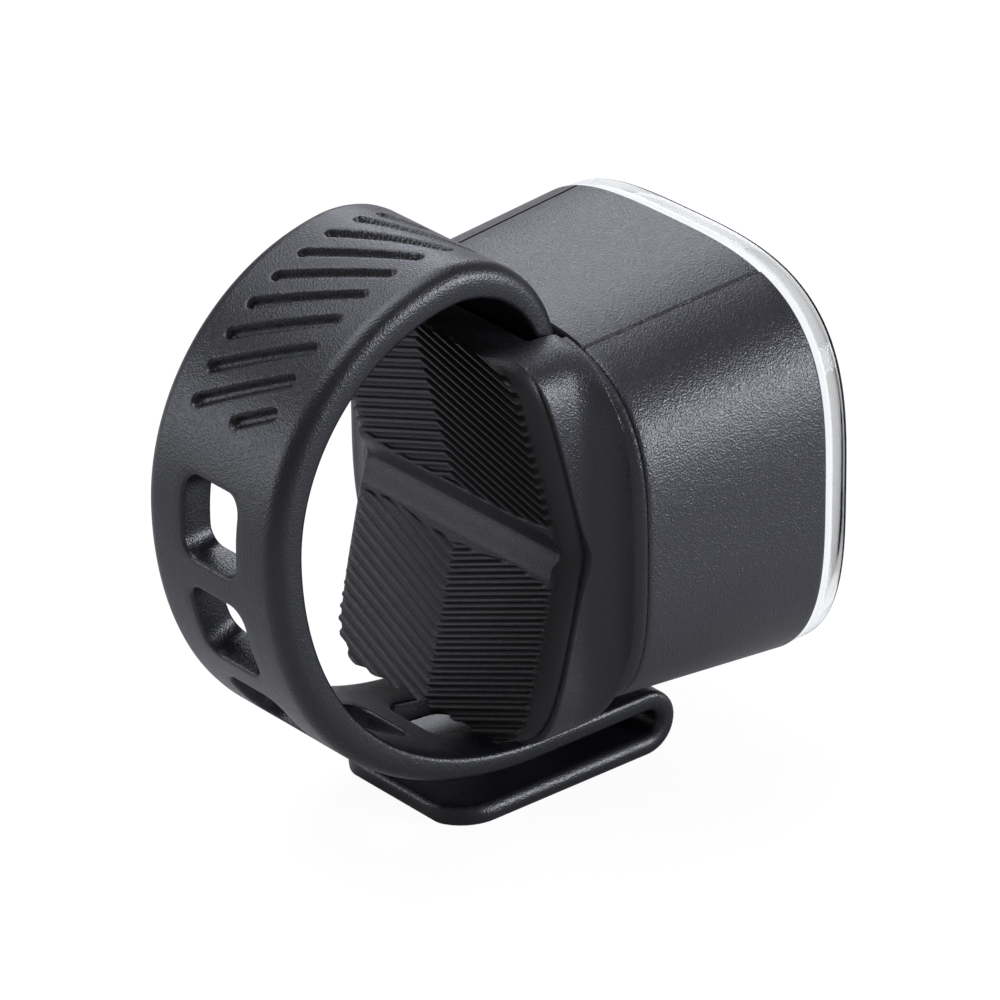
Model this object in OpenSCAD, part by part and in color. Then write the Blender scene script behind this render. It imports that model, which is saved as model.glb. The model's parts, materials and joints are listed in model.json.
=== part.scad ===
// Compact handlebar headlight: a rounded-square lamp body on a ribbed rubber saddle, held to the bar by a stretch strap.
// Millimetres. +X runs along the handlebar to the rider's right, +Y along the beam, +Z up.
// The origin is the bottom of the saddle's V, where the bar seats, on the lamp's middle plane.

/* [Lamp body] */
// Width of the body at the front rim
body_w = 36; // [32:0.5:44]
// Height of the body at the front rim
body_h = 34.2; // [31:0.2:42]
// Width of the body at the back
rear_w = 34.4; // [31:0.2:42]
// Height of the body at the back
rear_h = 31.2; // [29:0.2:40]
// Length of the body from its back face to the front rim
body_len = 17.2; // [16.6:0.2:30]
// Squareness of the body outline, 2 is an ellipse
corner_power = 3.2; // [2.6:0.1:5]
// Height of the body's axis above the bottom of the saddle's V
axis_z = 0.6; // [-2:0.1:3]
// Side wall around the lens
wall = 1.8; // [1.5:0.1:2.6]
// Step inside the wall that the heat spreader sits on
ledge = 0.8; // [0.6:0.1:1.4]
// Back wall of the body
back_wall = 1.6; // [1.2:0.1:2.6]

/* [Lens and light engine] */
// How far the lens stands out at its edge
lens_edge = 2.3; // [1.6:0.1:4]
// How far the middle of the lens stands out past its edge
dome_rise = 0.9; // [0.3:0.1:3]
// Wall of the lens
lens_t = 1.4; // [1:0.1:2]
// Length of the lens skirt inside the body
skirt_len = 1.2; // [0.8:0.1:1.8]
// Thickness of the lens skirt
skirt_t = 1.2; // [0.8:0.1:2]
// Thickness of the lens gasket
gasket_t = 0.6; // [0.4:0.1:1.2]
// Thickness of the clear optic plate
optic_t = 0.6; // [0.4:0.1:1]
// Thickness of the LED board
led_board_t = 1.2; // [0.8:0.1:1.8]
// Thickness of the heat spreader
spreader_t = 1; // [0.6:0.1:1.6]
// Distance of each LED from the body's axis
led_ring = 7.2; // [6.4:0.1:8]
// Side of one LED package
led_side = 3; // [2.4:0.1:3.6]
// Radius of a reflector cup at its mouth
cup_r = 4.85; // [4:0.05:5]

/* [Press panel] */
// Width of the press panel on top
panel_w = 20; // [16:0.5:24]
// Thickness of the press panel
panel_t = 1.2; // [0.8:0.1:1.5]
// Thickness of the panel's front end, over the lens skirt
tongue_t = 0.6; // [0.4:0.1:1]
// Travel of the press panel
press = 0.4; // [0.2:0.05:0.8]
// How far back the panel's stem is from the heat spreader
stem_back = 5.6; // [4.6:0.1:7.8]

/* [Charging port and battery] */
// How far back the port's middle is from the heat spreader
port_back = 5.3; // [4.7:0.1:6.6]
// Height of the circuit board's top above the body's axis
board_rise = 0.6; // [-1:0.1:2]
// Thickness of the circuit board
board_t = 1; // [0.8:0.1:1.6]
// Width of the charging socket
socket_w = 8.94; // [8:0.02:9.5]
// Height of the charging socket
socket_h = 3.26; // [2.8:0.02:4]
// Length of the charging socket
socket_len = 7.3; // [5:0.1:8]
// Thickness of the port cover
cover_t = 1.1; // [0.8:0.1:1.6]
// Height of the port cover
cover_h = 6.4; // [4.8:0.2:9]
// Width of the battery cell
cell_w = 20.8; // [16:0.2:23]
// Thickness of the foam behind the battery cell
foam_t = 0.8; // [0.4:0.1:1.5]

/* [Saddle and bracket] */
// Lean of the upper half of the saddle
lean_top = 18; // [10:1:24]
// Lean of the lower half of the saddle
lean_bottom = 13.5; // [8:0.5:20]
// Width of the rubber pad
pad_w = 22; // [18:0.5:24.5]
// Height of the rubber pad
pad_h = 31.2; // [29.4:0.2:31.8]
// Thickness of the rubber pad
pad_t = 1.85; // [1.4:0.05:3]
// Height of the smooth valley between the ribs
valley_h = 4.4; // [3:0.2:7]
// Depth of the smooth valley
valley_d = 0.75; // [0.4:0.05:1.2]
// Width of the bracket's frame around the pad
frame_w = 26; // [24:0.2:31]
// Height of the bracket's frame
frame_h = 32; // [31.4:0.2:36]
// Thickness of the bracket at the bottom of the V
bracket_t = 2.2; // [2:0.1:4]
// Radius of the hollow flare from the frame out to the lip
cove_r = 2.6; // [2:0.1:3.4]
// How far the strap hook starts behind the body's back face
hook_back = 0.65; // [0.2:0.05:1.2]

/* [Strap] */
// Width of the strap
strap_w = 15.5; // [11:0.5:19]
// Thickness of the strap around the loop
strap_t = 2.8; // [2:0.1:4]
// Thickness of the strap where it enters the bracket
root_t = 2; // [1.4:0.1:2.2]
// Thickness of the strap under the body
run_t = 1.8; // [1.4:0.1:2.4]
// Thickness of the pull tail
tail_t = 1.6; // [1.2:0.1:2.2]
// Inside radius of the bend that leaves the bracket
bend_r = 6.5; // [5:0.1:9]
// Inside radius of the strap over the bar
over_r = 16.2; // [14:0.1:20]
// Inside radius of the strap behind and under the bar
under_r = 22.3; // [20:0.1:27]
// Gap between the body and the strap under it
run_gap = 1.05; // [0.8:0.05:3]
// Radius of the turn into the pull tail
turn_r = 2.95; // [2.6:0.05:4]
// How far the straight run reaches past the body's back face
run_reach = 7.7; // [7.2:0.1:12]
// Length of the pull tail
tail_len = 19.2; // [10:0.2:26]
// Corner radius at the end of the pull tail
tail_corner = 3; // [1:0.5:5]
// Width and length of one strap slot
slot_size = 6.5; // [4.5:0.1:7.5]
// Distance from slot to slot along the strap
slot_step = 8.56; // [8.2:0.02:11]
// Radius of the steel pin through the strap's eye
pin_r = 0.8; // [0.5:0.05:1]
// Width of a grip groove on the strap
groove_w = 0.9; // [0.5:0.1:1.4]
// Depth of a grip groove on the strap
groove_d = 0.5; // [0.3:0.05:0.9]

/* [Clearances] */
// Gap between fitted pieces
fit = 0.15; // [0.08:0.01:0.3]
// Radial gap of a pin in its hole
pin_gap = 0.05; // [0.02:0.01:0.1]

/* [Hidden] */
$fn = 48;
ring_points = 72;
eps = 0.02;
far = 60;

// Stations along the beam
rear_y = pad_t + bracket_t;
rim_y = rear_y + body_len;
skirt_y = rim_y - skirt_len;
gasket_y = skirt_y - gasket_t;
led_y = gasket_y - led_board_t;
spreader_y = led_y - spreader_t;
floor_y = rear_y + back_wall;

// Body half sizes at a station, and the side wall's X at a height above the axis
function half_w(y) = rear_w / 2 + (body_w - rear_w) / 2 * (y - rear_y) / body_len;
function half_h(y) = rear_h / 2 + (body_h - rear_h) / 2 * (y - rear_y) / body_len;
function side_x(y, z) = half_w(y) * pow(1 - pow(abs(z) / half_h(y), corner_power), 1 / corner_power);
cave_w = half_w(floor_y) - wall - ledge;

// Light engine
bore_in = wall + fit + skirt_t;
optic_gap = 0.1;
optic_y = rim_y + lens_edge - lens_t - optic_gap - optic_t;
led_h = 0.6;
phosphor_t = 0.15;
optic_lift = 0.35;
cup_floor_r = led_side / sqrt(2) + 0.04;
cup_gap = 0.3;
led_spots = [for (a = [0 : 90 : 270]) [led_ring * cos(a), axis_z + led_ring * sin(a)]];

// Circuit board and what stands on it
board_top = axis_z + board_rise;
board_low = board_top - board_t;
board_gap = 0.4;
rail_w = 1.4;
rail_h = 1.2;
header_w = 5;
header_len = 2.5;
header_h = 2.54;
pin_half = 0.3;
pin_pitch = 1.5;
header_x = led_ring + led_side / 2 + pin_pitch + 2 * pin_half;
pin_spots = [for (i = [-1 : 1]) [header_x + pin_pitch * i, board_top + header_h / 2]];

// Press panel, its stem and the switch under it
stem_y = spreader_y - stem_back;
stem_r = 1.8;
stem_gap = 0.2;
recess = panel_t + press + 0.05;
step_y = spreader_y - 0.4;
floor_z = axis_z + half_h(stem_y) - recess;
slope = atan((body_h - rear_h) / 2 / body_len);
seal_t = 0.3;
seal_r = 3.6;
switch_w = 6;
switch_h = 3.7;
switch_bore = 1.2;
plunger_r = 1.6;
plunger_low = board_top + switch_h - switch_bore + press + 0.1;
plunger_rise = 9.4;
plunger_top = board_top + plunger_rise;

// Screws, their bosses and the battery between them
screw_r = 0.95;
head_r = 1.9;
head_h = 1.2;
boss_r = 2;
boss_len = 4;
seat_y = rear_y - 1.5;
screw_x = 6;
screw_rise = 6;
screw_in = 3.46;
screw_low = axis_z - frame_h / 2 + screw_in;
screw_spots = [for (x = [-screw_x, screw_x], z = [axis_z + screw_rise, screw_low]) [x, z]];
cell_low = screw_low + boss_r + 0.25;
cell_high = board_low - 0.6;
cell_y = floor_y + foam_t;
lead_room = 2.8;
cell_t = spreader_y - cell_y - lead_room;
lead_r = 0.45;
lead_bend = 0.9;

// Charging port and its cover
port_y = spreader_y - port_back;
port_z = board_top + socket_h / 2;
socket_wall = 0.3;
cover_gap = 0.1;
plug_gap = 0.3;
plug_len = 0.7;
mouth_x = cover_t + 2 * cover_gap - side_x(port_y - socket_w / 2, port_z - axis_z + socket_h / 2);
hinge_r = 0.6;
ear_r = 0.4;
ear_len = 0.7;
hinge_room = 0.25;
hinge_y = port_y - socket_w / 2 - 1.03;
hinge_x = hinge_r - side_x(hinge_y, port_z - axis_z + cover_h / 2);
cover_end = port_y + socket_w / 2 + 1.13;

// Strap contour, tangent arcs in the YZ plane
frame_low = axis_z - frame_h / 2;
turn_y = rear_y + run_reach;
run_z = min(frame_low, axis_z - half_h(turn_y + turn_r)) - run_gap;
arc_z = run_z + under_r;
root_y = rear_y - root_t - 0.32;
bend_y = root_y - bend_r;
bend_z = arc_z + over_r - bend_r;
under_y = bend_y - over_r + under_r;
turn_z = run_z - turn_r;
tail_y = turn_y - tail_len;
tail_z = turn_z - turn_r;
eye_r = pin_r + 0.8;
eye_y = root_y + root_t - eye_r;
eye_z = axis_z + frame_h / 2 - 5.2;
pin_len = strap_w + 4;
notch_gap = 0.35;
notch = strap_w / 2 + notch_gap;

// Strap slots, counted back from the one on the hook, and the split behind the first
slot_corner = 1.3;
slot_count = 5;
slot_play = 0.4;
hook_w = slot_size - 1.9;
hook_rear = rear_y - hook_back;
stem_len = 1.7;
hook_end = hook_rear + stem_len;
nose_len = 1.3;
nose_t = 0.9;
nose_z = run_z - run_t - 0.25;
foot_z = run_z + 0.45;
hook_slot_y = hook_rear + slot_size / 2 - slot_play;
slot_arc = under_r + strap_t / 2;
function slot_a(k) = 270 + (hook_slot_y - under_y - (slot_count - k) * slot_step) * 180 / PI / slot_arc;
split_a = slot_a(0.5) + 0.9;
split_gap = 0.05;
thin_a = 215;

charcoal = [0.13, 0.13, 0.15];
soft_black = [0.09, 0.09, 0.1];
steel = [0.72, 0.73, 0.75];
clear = [0.91, 0.94, 0.97, 0.45];
chip_black = [0.14, 0.14, 0.15];

// Outlines
function power_point(a, w, h, p) =
  [w * sign(cos(a)) * pow(abs(cos(a)), 2 / p), h * sign(sin(a)) * pow(abs(sin(a)), 2 / p)];
function power_ring(w, h, p) = [for (i = [0 : ring_points - 1]) power_point(360 * i / ring_points, w, h, p)];
function round_box(w, h, r) = [for (c = [[1, 1, 0], [-1, 1, 90], [-1, -1, 180], [1, -1, 270]], i = [0 : 6])
  [c[0] * (w / 2 - r) + r * cos(c[2] + 15 * i), c[1] * (h / 2 - r) + r * sin(c[2] + 15 * i)]];
function backward(list) = [for (i = [len(list) - 1 : -1 : 0]) list[i]];

// Skin through sections of [y, half width, half height, squareness], front last
module loft(sections) {
  n = ring_points;
  last = len(sections) - 1;
  rings = [for (s = sections) for (q = power_ring(s[1], s[2], s[3])) [q[0], s[0], q[1] + axis_z]];
  sides = [for (k = [0 : last - 1], i = [0 : n - 1], t = [0, 1])
    let (j = (i + 1) % n, a = k * n, b = a + n) t == 0 ? [a + i, a + j, b + j] : [a + i, b + j, b + i]];
  caps = [[for (i = [n - 1 : -1 : 0]) i], [for (i = [0 : n - 1]) last * n + i]];
  polyhedron(points = rings, faces = concat(sides, caps), convexity = 4);
}

module body_form(inset, y0, y1)
  loft([for (y = [y0, y1]) [y, half_w(y) - inset, half_h(y) - inset, corner_power]]);

// A YZ outline carried along X
module across(width)
  rotate([90, 0, 90]) translate([0, 0, -width / 2]) linear_extrude(width) children();

// An XZ outline carried along Y
module along(y0, y1)
  translate([0, y1, 0]) rotate([90, 0, 0]) linear_extrude(y1 - y0) children();

// A YZ outline carried along X from the port's mouth
module into_port(x0, x1)
  translate([mouth_x + x0, port_y, port_z]) rotate([90, 0, 90]) linear_extrude(x1 - x0) children();

module rod(r, y0, y1)
  translate([0, y0, 0]) rotate([-90, 0, 0]) cylinder(r = r, h = y1 - y0);

module cross_rod(r, len)
  translate([0, eye_y, eye_z]) rotate([0, 90, 0]) cylinder(r = r, h = len, center = true);

module box(x, y, z)
  translate([x[0], y[0], z[0]]) cube([x[1] - x[0], y[1] - y[0], z[1] - z[0]]);

module plate(inset, y0, y1, y_at)
  along(y0, y1) translate([0, axis_z])
    polygon(power_ring(half_w(y_at) - inset, half_h(y_at) - inset, corner_power));

module at_spots(spots)
  for (s = spots) translate([s[0], 0, s[1]]) children();

// Lamp body
module panel_zone(half, y1)
  box([-half, half], [rear_y - 1, y1], [axis_z + 4, axis_z + body_h]);

module cover_zone(grow)
  box([-body_w, -body_w / 4], [hinge_y, cover_end + grow],
    [port_z - cover_h / 2 - grow, port_z + cover_h / 2 + grow]);

module panel_recess()
  intersection() {
    difference() {
      body_form(-1, rear_y - 1, rim_y + 1);
      body_form(recess, rear_y - 2, step_y + fit);
      body_form(press + tongue_t, step_y + fit, rim_y + 2);
    }
    panel_zone(panel_w / 2 + fit, rim_y + 1);
  }

module board_rails()
  for (s = [-1, 1]) translate([s * (cave_w - rail_w + 2), 0, 0])
    box([-2, 2], [floor_y - 0.5, spreader_y - 1], [board_low - rail_h, board_low]);

module cover_recess() {
  high = cover_h + 2 * cover_gap;
  intersection() {
    difference() {
      body_form(-1, rear_y + cover_gap, rim_y);
      body_form(cover_t + cover_gap, rear_y, rim_y + 1);
    }
    cover_zone(cover_gap);
  }
  intersection() {
    translate([hinge_x, hinge_y, port_z - high / 2]) {
      cylinder(r = hinge_r + hinge_room, h = high);
      translate([-3, -hinge_r - hinge_room, 0]) cube([3, 2 * (hinge_r + hinge_room), high]);
    }
    body_form(-1, rear_y + cover_gap, rim_y);
  }
  translate([hinge_x, hinge_y, port_z]) cylinder(r = ear_r + pin_gap, h = cover_h + 2 * ear_len + 0.4, center = true);
}

module housing() color(charcoal)
  difference() {
    union() {
      difference() {
        body_form(0, rear_y, rim_y);
        body_form(wall + ledge, floor_y, spreader_y + eps);
        body_form(wall, spreader_y, rim_y + 1);
      }
      intersection() {
        body_form(wall, rear_y + 0.5, spreader_y);
        union() {
          at_spots(screw_spots) rod(boss_r, floor_y - 0.5, floor_y + boss_len);
          board_rails();
        }
      }
    }
    panel_recess();
    translate([0, stem_y, floor_z]) {
      translate([0, 0, -4]) cylinder(r = stem_r + stem_gap, h = 8);
      rotate([slope, 0, 0]) translate([0, 0, -seal_t]) cylinder(r = seal_r + fit, h = 3);
    }
    at_spots(screw_spots) rod(screw_r + pin_gap, rear_y - 1, floor_y + boss_len - 0.8);
    cover_recess();
    into_port(-3, socket_len) polygon(round_box(socket_w + 2 * fit, socket_h + 2 * cover_gap, 1.4));
  }

function lens_ring(rise, inset, share) =
  [rim_y + rise, (half_w(rim_y) - inset) * share, (half_h(rim_y) - inset) * share, corner_power];

module front_lens() color(clear) {
  crown = [[0.6, 0.82], [0.85, 0.5], [1, 0.15]];
  round_in = 2.2;
  difference() {
    union() {
      loft(concat(
        [lens_ring(0, 0.1, 1), lens_ring(0.55 * lens_edge, 0.2, 1), lens_ring(0.8 * lens_edge, 0.55, 1),
          lens_ring(0.95 * lens_edge, 1.1, 1), lens_ring(lens_edge + 0.1, round_in, 1)],
        [for (c = crown) lens_ring(lens_edge + c[0] * dome_rise, round_in, c[1])]));
      plate(wall + fit, skirt_y, rim_y + eps, skirt_y);
    }
    plate(bore_in, skirt_y - 1, rim_y + eps, skirt_y);
    loft(concat(
      [lens_ring(0, bore_in, 1), lens_ring(lens_edge - lens_t, bore_in, 1),
        lens_ring(lens_edge - lens_t + 0.3 * dome_rise, bore_in + 0.5, 1)],
      [for (c = crown) lens_ring(lens_edge - lens_t + c[0] * dome_rise, bore_in, c[1])]));
  }
}

module lens_gasket() color([0.2, 0.2, 0.22])
  difference() {
    plate(wall + fit, gasket_y, skirt_y, skirt_y);
    plate(bore_in, gasket_y - 1, skirt_y + 1, skirt_y);
  }

// Light engine
module heat_spreader() color([0.77, 0.78, 0.8])
  difference() {
    plate(wall + fit, spreader_y, led_y, spreader_y);
    at_spots(pin_spots) rod(2 * pin_half, spreader_y - 1, led_y + 1);
  }

module led_board() color([0.93, 0.93, 0.9])
  difference() {
    plate(wall + fit, led_y, gasket_y, spreader_y);
    at_spots(pin_spots) rod(pin_half + pin_gap, led_y - 1, gasket_y + 1);
  }

module led_packages() color([0.96, 0.96, 0.93])
  at_spots(led_spots) along(gasket_y, gasket_y + led_h) square(led_side, center = true);

module led_phosphors() color([0.95, 0.8, 0.15])
  at_spots(led_spots) along(gasket_y + led_h, gasket_y + led_h + phosphor_t)
    polygon(round_box(led_side - 0.5, led_side - 0.5, 0.3));

module cup_cone(r0, r1, y0, y1)
  translate([0, y0, 0]) rotate([-90, 0, 0]) cylinder(r1 = r0, r2 = r1, h = y1 - y0);

module reflector_bezel() color([0.8, 0.81, 0.83])
  difference() {
    plate(bore_in + fit, gasket_y, optic_y, skirt_y);
    at_spots(led_spots) cup_cone(cup_floor_r, cup_r, gasket_y - eps, optic_y + eps);
    at_spots(pin_spots) rod(2 * pin_half, gasket_y - 1, gasket_y + 0.8);
  }

module collimator_optic() color(clear) {
  low = gasket_y + led_h + phosphor_t + optic_lift;
  difference() {
    union() {
      plate(bore_in + 2 * fit, optic_y, optic_y + optic_t, skirt_y);
      at_spots(led_spots) cup_cone(cup_floor_r - cup_gap, cup_r - cup_gap, low, optic_y + 0.05);
    }
    at_spots(led_spots) rod(led_side / 2 - 0.6, low - 1, low + 0.5);
  }
}

// Electronics
module main_board() color([0.1, 0.32, 0.2])
  box([-cave_w + board_gap, cave_w - board_gap], [floor_y + 0.3, spreader_y - 0.6], [board_low, board_top]);

// Chips as [x, y from the stem, width, length, height]
module board_chips() color(chip_black)
  for (c = [[6.4, -0.4, 4, 4, 0.9], [10.8, -0.8, 2.8, 2.8, 1.8], [-5.9, 3.2, 3.4, 1.6, 0.8]])
    translate([c[0] - c[2] / 2, stem_y + c[1] - c[3] / 2, board_top]) cube([c[2], c[3], c[4]]);

module board_header() color(chip_black)
  box([header_x - header_w / 2, header_x + header_w / 2], [spreader_y - 0.7 - header_len, spreader_y - 0.7],
    [board_top, board_top + header_h]);

module header_pins() color([0.83, 0.68, 0.32])
  at_spots(pin_spots) rod(pin_half, spreader_y - 0.7, gasket_y + 0.3);

module battery_cell() color([0.6, 0.63, 0.68])
  box([-cell_w / 2, cell_w / 2], [cell_y, cell_y + cell_t], [cell_low, cell_high]);

module battery_foam() color([0.3, 0.3, 0.32])
  box([1 - cell_w / 2, cell_w / 2 - 1], [floor_y, cell_y], [cell_low + 1, cell_high - 1]);

module battery_leads() color([0.7, 0.12, 0.1]) {
  drop = 2.2;
  run = 0.8;
  for (x = [-4, -1.5]) translate([x, cell_y + cell_t, cell_high - drop]) {
    rod(lead_r, 0, run);
    translate([0, run, lead_bend]) rotate([90, 0, 90]) rotate([0, 0, 270])
      rotate_extrude(angle = 90) translate([lead_bend, 0]) circle(r = lead_r);
    translate([0, run + lead_bend, lead_bend]) cylinder(r = lead_r, h = board_low - cell_high + drop - lead_bend);
  }
}

module usb_socket() color(steel)
  difference() {
    into_port(0, socket_len) polygon(round_box(socket_w, socket_h, 1.3));
    into_port(-1, socket_len - 0.5) polygon(round_box(socket_w - 2 * socket_wall, socket_h - 2 * socket_wall, 1));
  }

module usb_tongue() color(chip_black)
  into_port(1.3, socket_len - 0.5) square([socket_w - 2.34, 0.7], center = true);

module usb_cover() color(soft_black) {
  intersection() {
    difference() {
      body_form(0, rear_y + 2 * cover_gap, rim_y);
      body_form(cover_t, rear_y, rim_y + 1);
    }
    cover_zone(-cover_gap / 2);
  }
  translate([hinge_x, hinge_y, port_z]) {
    cylinder(r = hinge_r, h = cover_h, center = true);
    cylinder(r = ear_r, h = cover_h + 2 * ear_len, center = true);
  }
  intersection() {
    into_port(-2, plug_len)
      polygon(round_box(socket_w - 2 * (socket_wall + plug_gap), socket_h - 2 * (socket_wall + plug_gap), 0.8));
    body_form(cover_t / 2, rear_y, rim_y);
  }
}

module tact_switch() color(chip_black)
  difference() {
    box([-switch_w / 2, switch_w / 2], [stem_y - switch_w / 2, stem_y + switch_w / 2], [board_top, board_top + switch_h]);
    translate([0, stem_y, board_top + switch_h - switch_bore]) cylinder(r = plunger_r + pin_gap, h = 2);
  }

// Pressed pieces
module switch_plunger() color([0.85, 0.85, 0.83])
  translate([0, stem_y, plunger_low]) cylinder(r = plunger_r, h = plunger_top - plunger_low);

module power_button() color(charcoal) {
  intersection() {
    difference() {
      body_form(0, rear_y + 0.1, rim_y);
      body_form(panel_t, rear_y - 1, step_y);
      body_form(tongue_t, step_y, rim_y + 2);
    }
    panel_zone(panel_w / 2, rim_y - fit);
  }
  translate([0, stem_y, plunger_top]) cylinder(r = stem_r, h = floor_z + recess - 0.3 - plunger_top);
}

module button_seal() color([0.24, 0.24, 0.26])
  translate([0, stem_y, floor_z]) difference() {
    rotate([slope, 0, 0]) translate([0, 0, -seal_t]) cylinder(r = seal_r, h = seal_t - 0.05);
    translate([0, 0, -2]) cylinder(r = stem_r + 0.12, h = 4);
  }

// Saddle and bracket
function saddle_y(z, back) = back - tan(z > 0 ? lean_top : lean_bottom) * abs(z);

// Pegs that hold the pad, as [radius, length] at heights above the axis
peg = [1.6, 1.1];
peg_rises = [-7, 4];

module at_pegs()
  for (rise = peg_rises) translate([0, saddle_y(axis_z + rise, pad_t), axis_z + rise]) children();

module behind(back)
  across(body_w * 2) polygon([[saddle_y(far, back), far], [back, 0], [saddle_y(-far, back), -far], [-far, -far], [-far, far]]);

// Section of the bracket where the flare has turned by an angle
function flare(a, lip_y, lip_w, lip_h) = [lip_y - cove_r * (1 - cos(a)), lip_w + (frame_w / 2 - lip_w) * sin(a),
  lip_h + (frame_h / 2 - lip_h) * sin(a), corner_power + 1.4 * sin(a)];

module bracket_form() {
  lip_w = half_w(rear_y) + 0.1;
  lip_h = half_h(rear_y) + 0.05;
  lip_y = rear_y - 0.85;
  difference() {
    loft(backward(concat(
      [[rear_y, lip_w - 0.25, lip_h - 0.05, corner_power], [rear_y - 0.25, lip_w, lip_h, corner_power],
        [rear_y - 0.7, lip_w - 0.3, lip_h, corner_power]],
      [for (a = [0 : 15 : 90]) flare(a, lip_y, lip_w - 0.5, lip_h)],
      [[lip_y - cove_r - 8, frame_w / 2 - 0.1, frame_h / 2, corner_power + 1.4]])));
    behind(pad_t);
  }
}

module mount_bracket() color(charcoal) {
  x = [-hook_w / 2, hook_w / 2];
  slack = pin_r + pin_gap;
  difference() {
    union() {
      bracket_form();
      box(x, [rear_y - 2, rear_y], [foot_z, frame_low + 0.5]);
      box(x, [rear_y - 2, hook_end], [foot_z, axis_z - half_h(hook_end) - fit]);
    }
    // Notch for the strap's root and grooves for its pin
    box([-notch, notch], [eye_y - eye_r - notch_gap, rear_y + 1], [eye_z - eye_r - notch_gap, axis_z + frame_h]);
    cross_rod(slack, pin_len + 2 * notch_gap);
    box([-pin_len / 2 - notch_gap, pin_len / 2 + notch_gap], [eye_y, rear_y + 1], [eye_z - slack, eye_z + slack]);
    at_spots(screw_spots) {
      rod(screw_r + stem_gap, -far, rear_y + 1);
      rod(head_r + stem_gap, -far, seat_y);
    }
    at_pegs() rod(peg[0] + fit, -far, peg[1] + 2 * fit);
  }
  box(x, [hook_rear, hook_end], [nose_z - nose_t, foot_z + 0.05]);
  box(x, [hook_rear, hook_end + nose_len], [nose_z - nose_t, nose_z]);
}

module grip_pad() color(soft_black) {
  v = valley_h / 2;
  intersection() {
    across(pad_w * 2) polygon(concat(
      [[saddle_y(far, 0), far], [saddle_y(v, 0), v]],
      [for (a = [22.5 : 22.5 : 157.5]) [saddle_y(v, 0) * cos(a / 2) + valley_d * sin(a), v * cos(a)]],
      [[saddle_y(-v, 0), -v], [saddle_y(-far, 0), -far], [saddle_y(-far, pad_t), -far], [pad_t, 0],
        [saddle_y(far, pad_t), far]]));
    along(-far / 2, 10) translate([0, axis_z]) polygon(round_box(pad_w, pad_h, 4.5));
  }
  at_pegs() rod(peg[0], -0.8, peg[1]);
}

module bracket_screws() color(steel)
  at_spots(screw_spots) {
    rod(screw_r, seat_y - 0.3, floor_y + boss_len - 1.2);
    difference() {
      rod(head_r, seat_y - head_h, seat_y);
      along(seat_y - 2, seat_y - 0.5) circle(r = 0.75, $fn = 6);
    }
  }

module strap_pin() color(steel)
  cross_rod(pin_r, pin_len);

// Strap, as points of [y, z, outward angle, thickness] along its inner face
function turn(cy, cz, r, a0, a1, t0, t1, first) = [for (i = [first : 18]) let (s = i / 18, a = a0 + (a1 - a0) * s)
  [cy + r * cos(a), cz + r * sin(a), a, t0 + (t1 - t0) * s]];
function thin(a) = a < thin_a ? strap_t : strap_t + (run_t - strap_t) * (a - thin_a) / (270 - thin_a);
function under(a0, a1, first) =
  [for (p = turn(under_y, arc_z, under_r, a0, a1, 0, 1, first)) [p[0], p[1], p[2], thin(p[2])]];

root_path = concat([[root_y, eye_z, 0, root_t]], turn(bend_y, bend_z, bend_r, 0, 90, root_t, strap_t, 0),
  turn(bend_y, arc_z, over_r, 90, 180, strap_t, strap_t, 1), under(180, split_a, 1));
tail_path = concat(under(split_a + split_gap * 180 / PI / slot_arc, 270, 0), [[turn_y, run_z, 270, run_t]],
  [for (p = turn(turn_y, turn_z, turn_r, 90, -90, run_t, tail_t, 1)) [p[0], p[1], p[2] + 180, p[3]]],
  [[tail_y, tail_z, 90, tail_t]]);

module ribbon(path)
  across(strap_w) polygon(concat([for (p = path) [p[0], p[1]]],
    backward([for (p = path) [p[0] + p[3] * cos(p[2]), p[1] + p[3] * sin(p[2])]])));

module slot_outline()
  polygon(round_box(slot_size, slot_size, slot_corner));

module loop_slot(k)
  translate([0, under_y, arc_z]) rotate([slot_a(k), 0, 0]) translate([0, under_r - 1, 0])
    rotate([-90, 0, 0]) linear_extrude(strap_t + 1.6) slot_outline();

module grip_groove(a, x0, x1)
  translate([0, bend_y, arc_z]) rotate([a, 0, 0]) translate([0, over_r + strap_t, 0])
    rotate([90, 0, 0]) rotate([0, 0, -30]) translate([0, 0, -1]) linear_extrude(1 + groove_d) {
      translate([x0, -groove_w / 2]) square([x1 - x0, groove_w]);
      for (x = [x0, x1]) translate([x, 0]) circle(d = groove_w, $fn = 20);
    }

module strap_root() color(charcoal)
  difference() {
    union() {
      ribbon(root_path);
      cross_rod(eye_r, strap_w);
    }
    cross_rod(pin_r + pin_gap, strap_w + 2);
    loop_slot(0);
    // A ladder of grip grooves, with a short one at each end
    for (i = [0 : 7]) grip_groove(144.5 - 8.3 * i, -4.5, 4.5);
    grip_groove(152.8, 0.8, 4.5);
    grip_groove(85, -4.5, -1.4);
  }

module strap_tail() color(charcoal)
  difference() {
    ribbon(tail_path);
    for (k = [1 : slot_count - 1]) loop_slot(k);
    translate([0, hook_slot_y, run_z - run_t - 1]) linear_extrude(run_t + 2) slot_outline();
    difference() {
      box([-strap_w, strap_w], [tail_y - 1, tail_y + tail_corner], [tail_z - 1, tail_z + tail_t + 0.3]);
      translate([0, tail_y + tail_len, tail_z - 2]) linear_extrude(10)
        polygon(round_box(strap_w, 2 * tail_len, tail_corner));
    }
  }

housing();
front_lens();
lens_gasket();
collimator_optic();
reflector_bezel();
led_board();
led_packages();
led_phosphors();
heat_spreader();
main_board();
board_chips();
board_header();
header_pins();
battery_cell();
battery_foam();
battery_leads();
usb_socket();
usb_tongue();
usb_cover();
tact_switch();
switch_plunger();
power_button();
button_seal();
mount_bracket();
grip_pad();
bracket_screws();
strap_pin();
strap_root();
strap_tail();
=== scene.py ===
import json
import math

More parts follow.
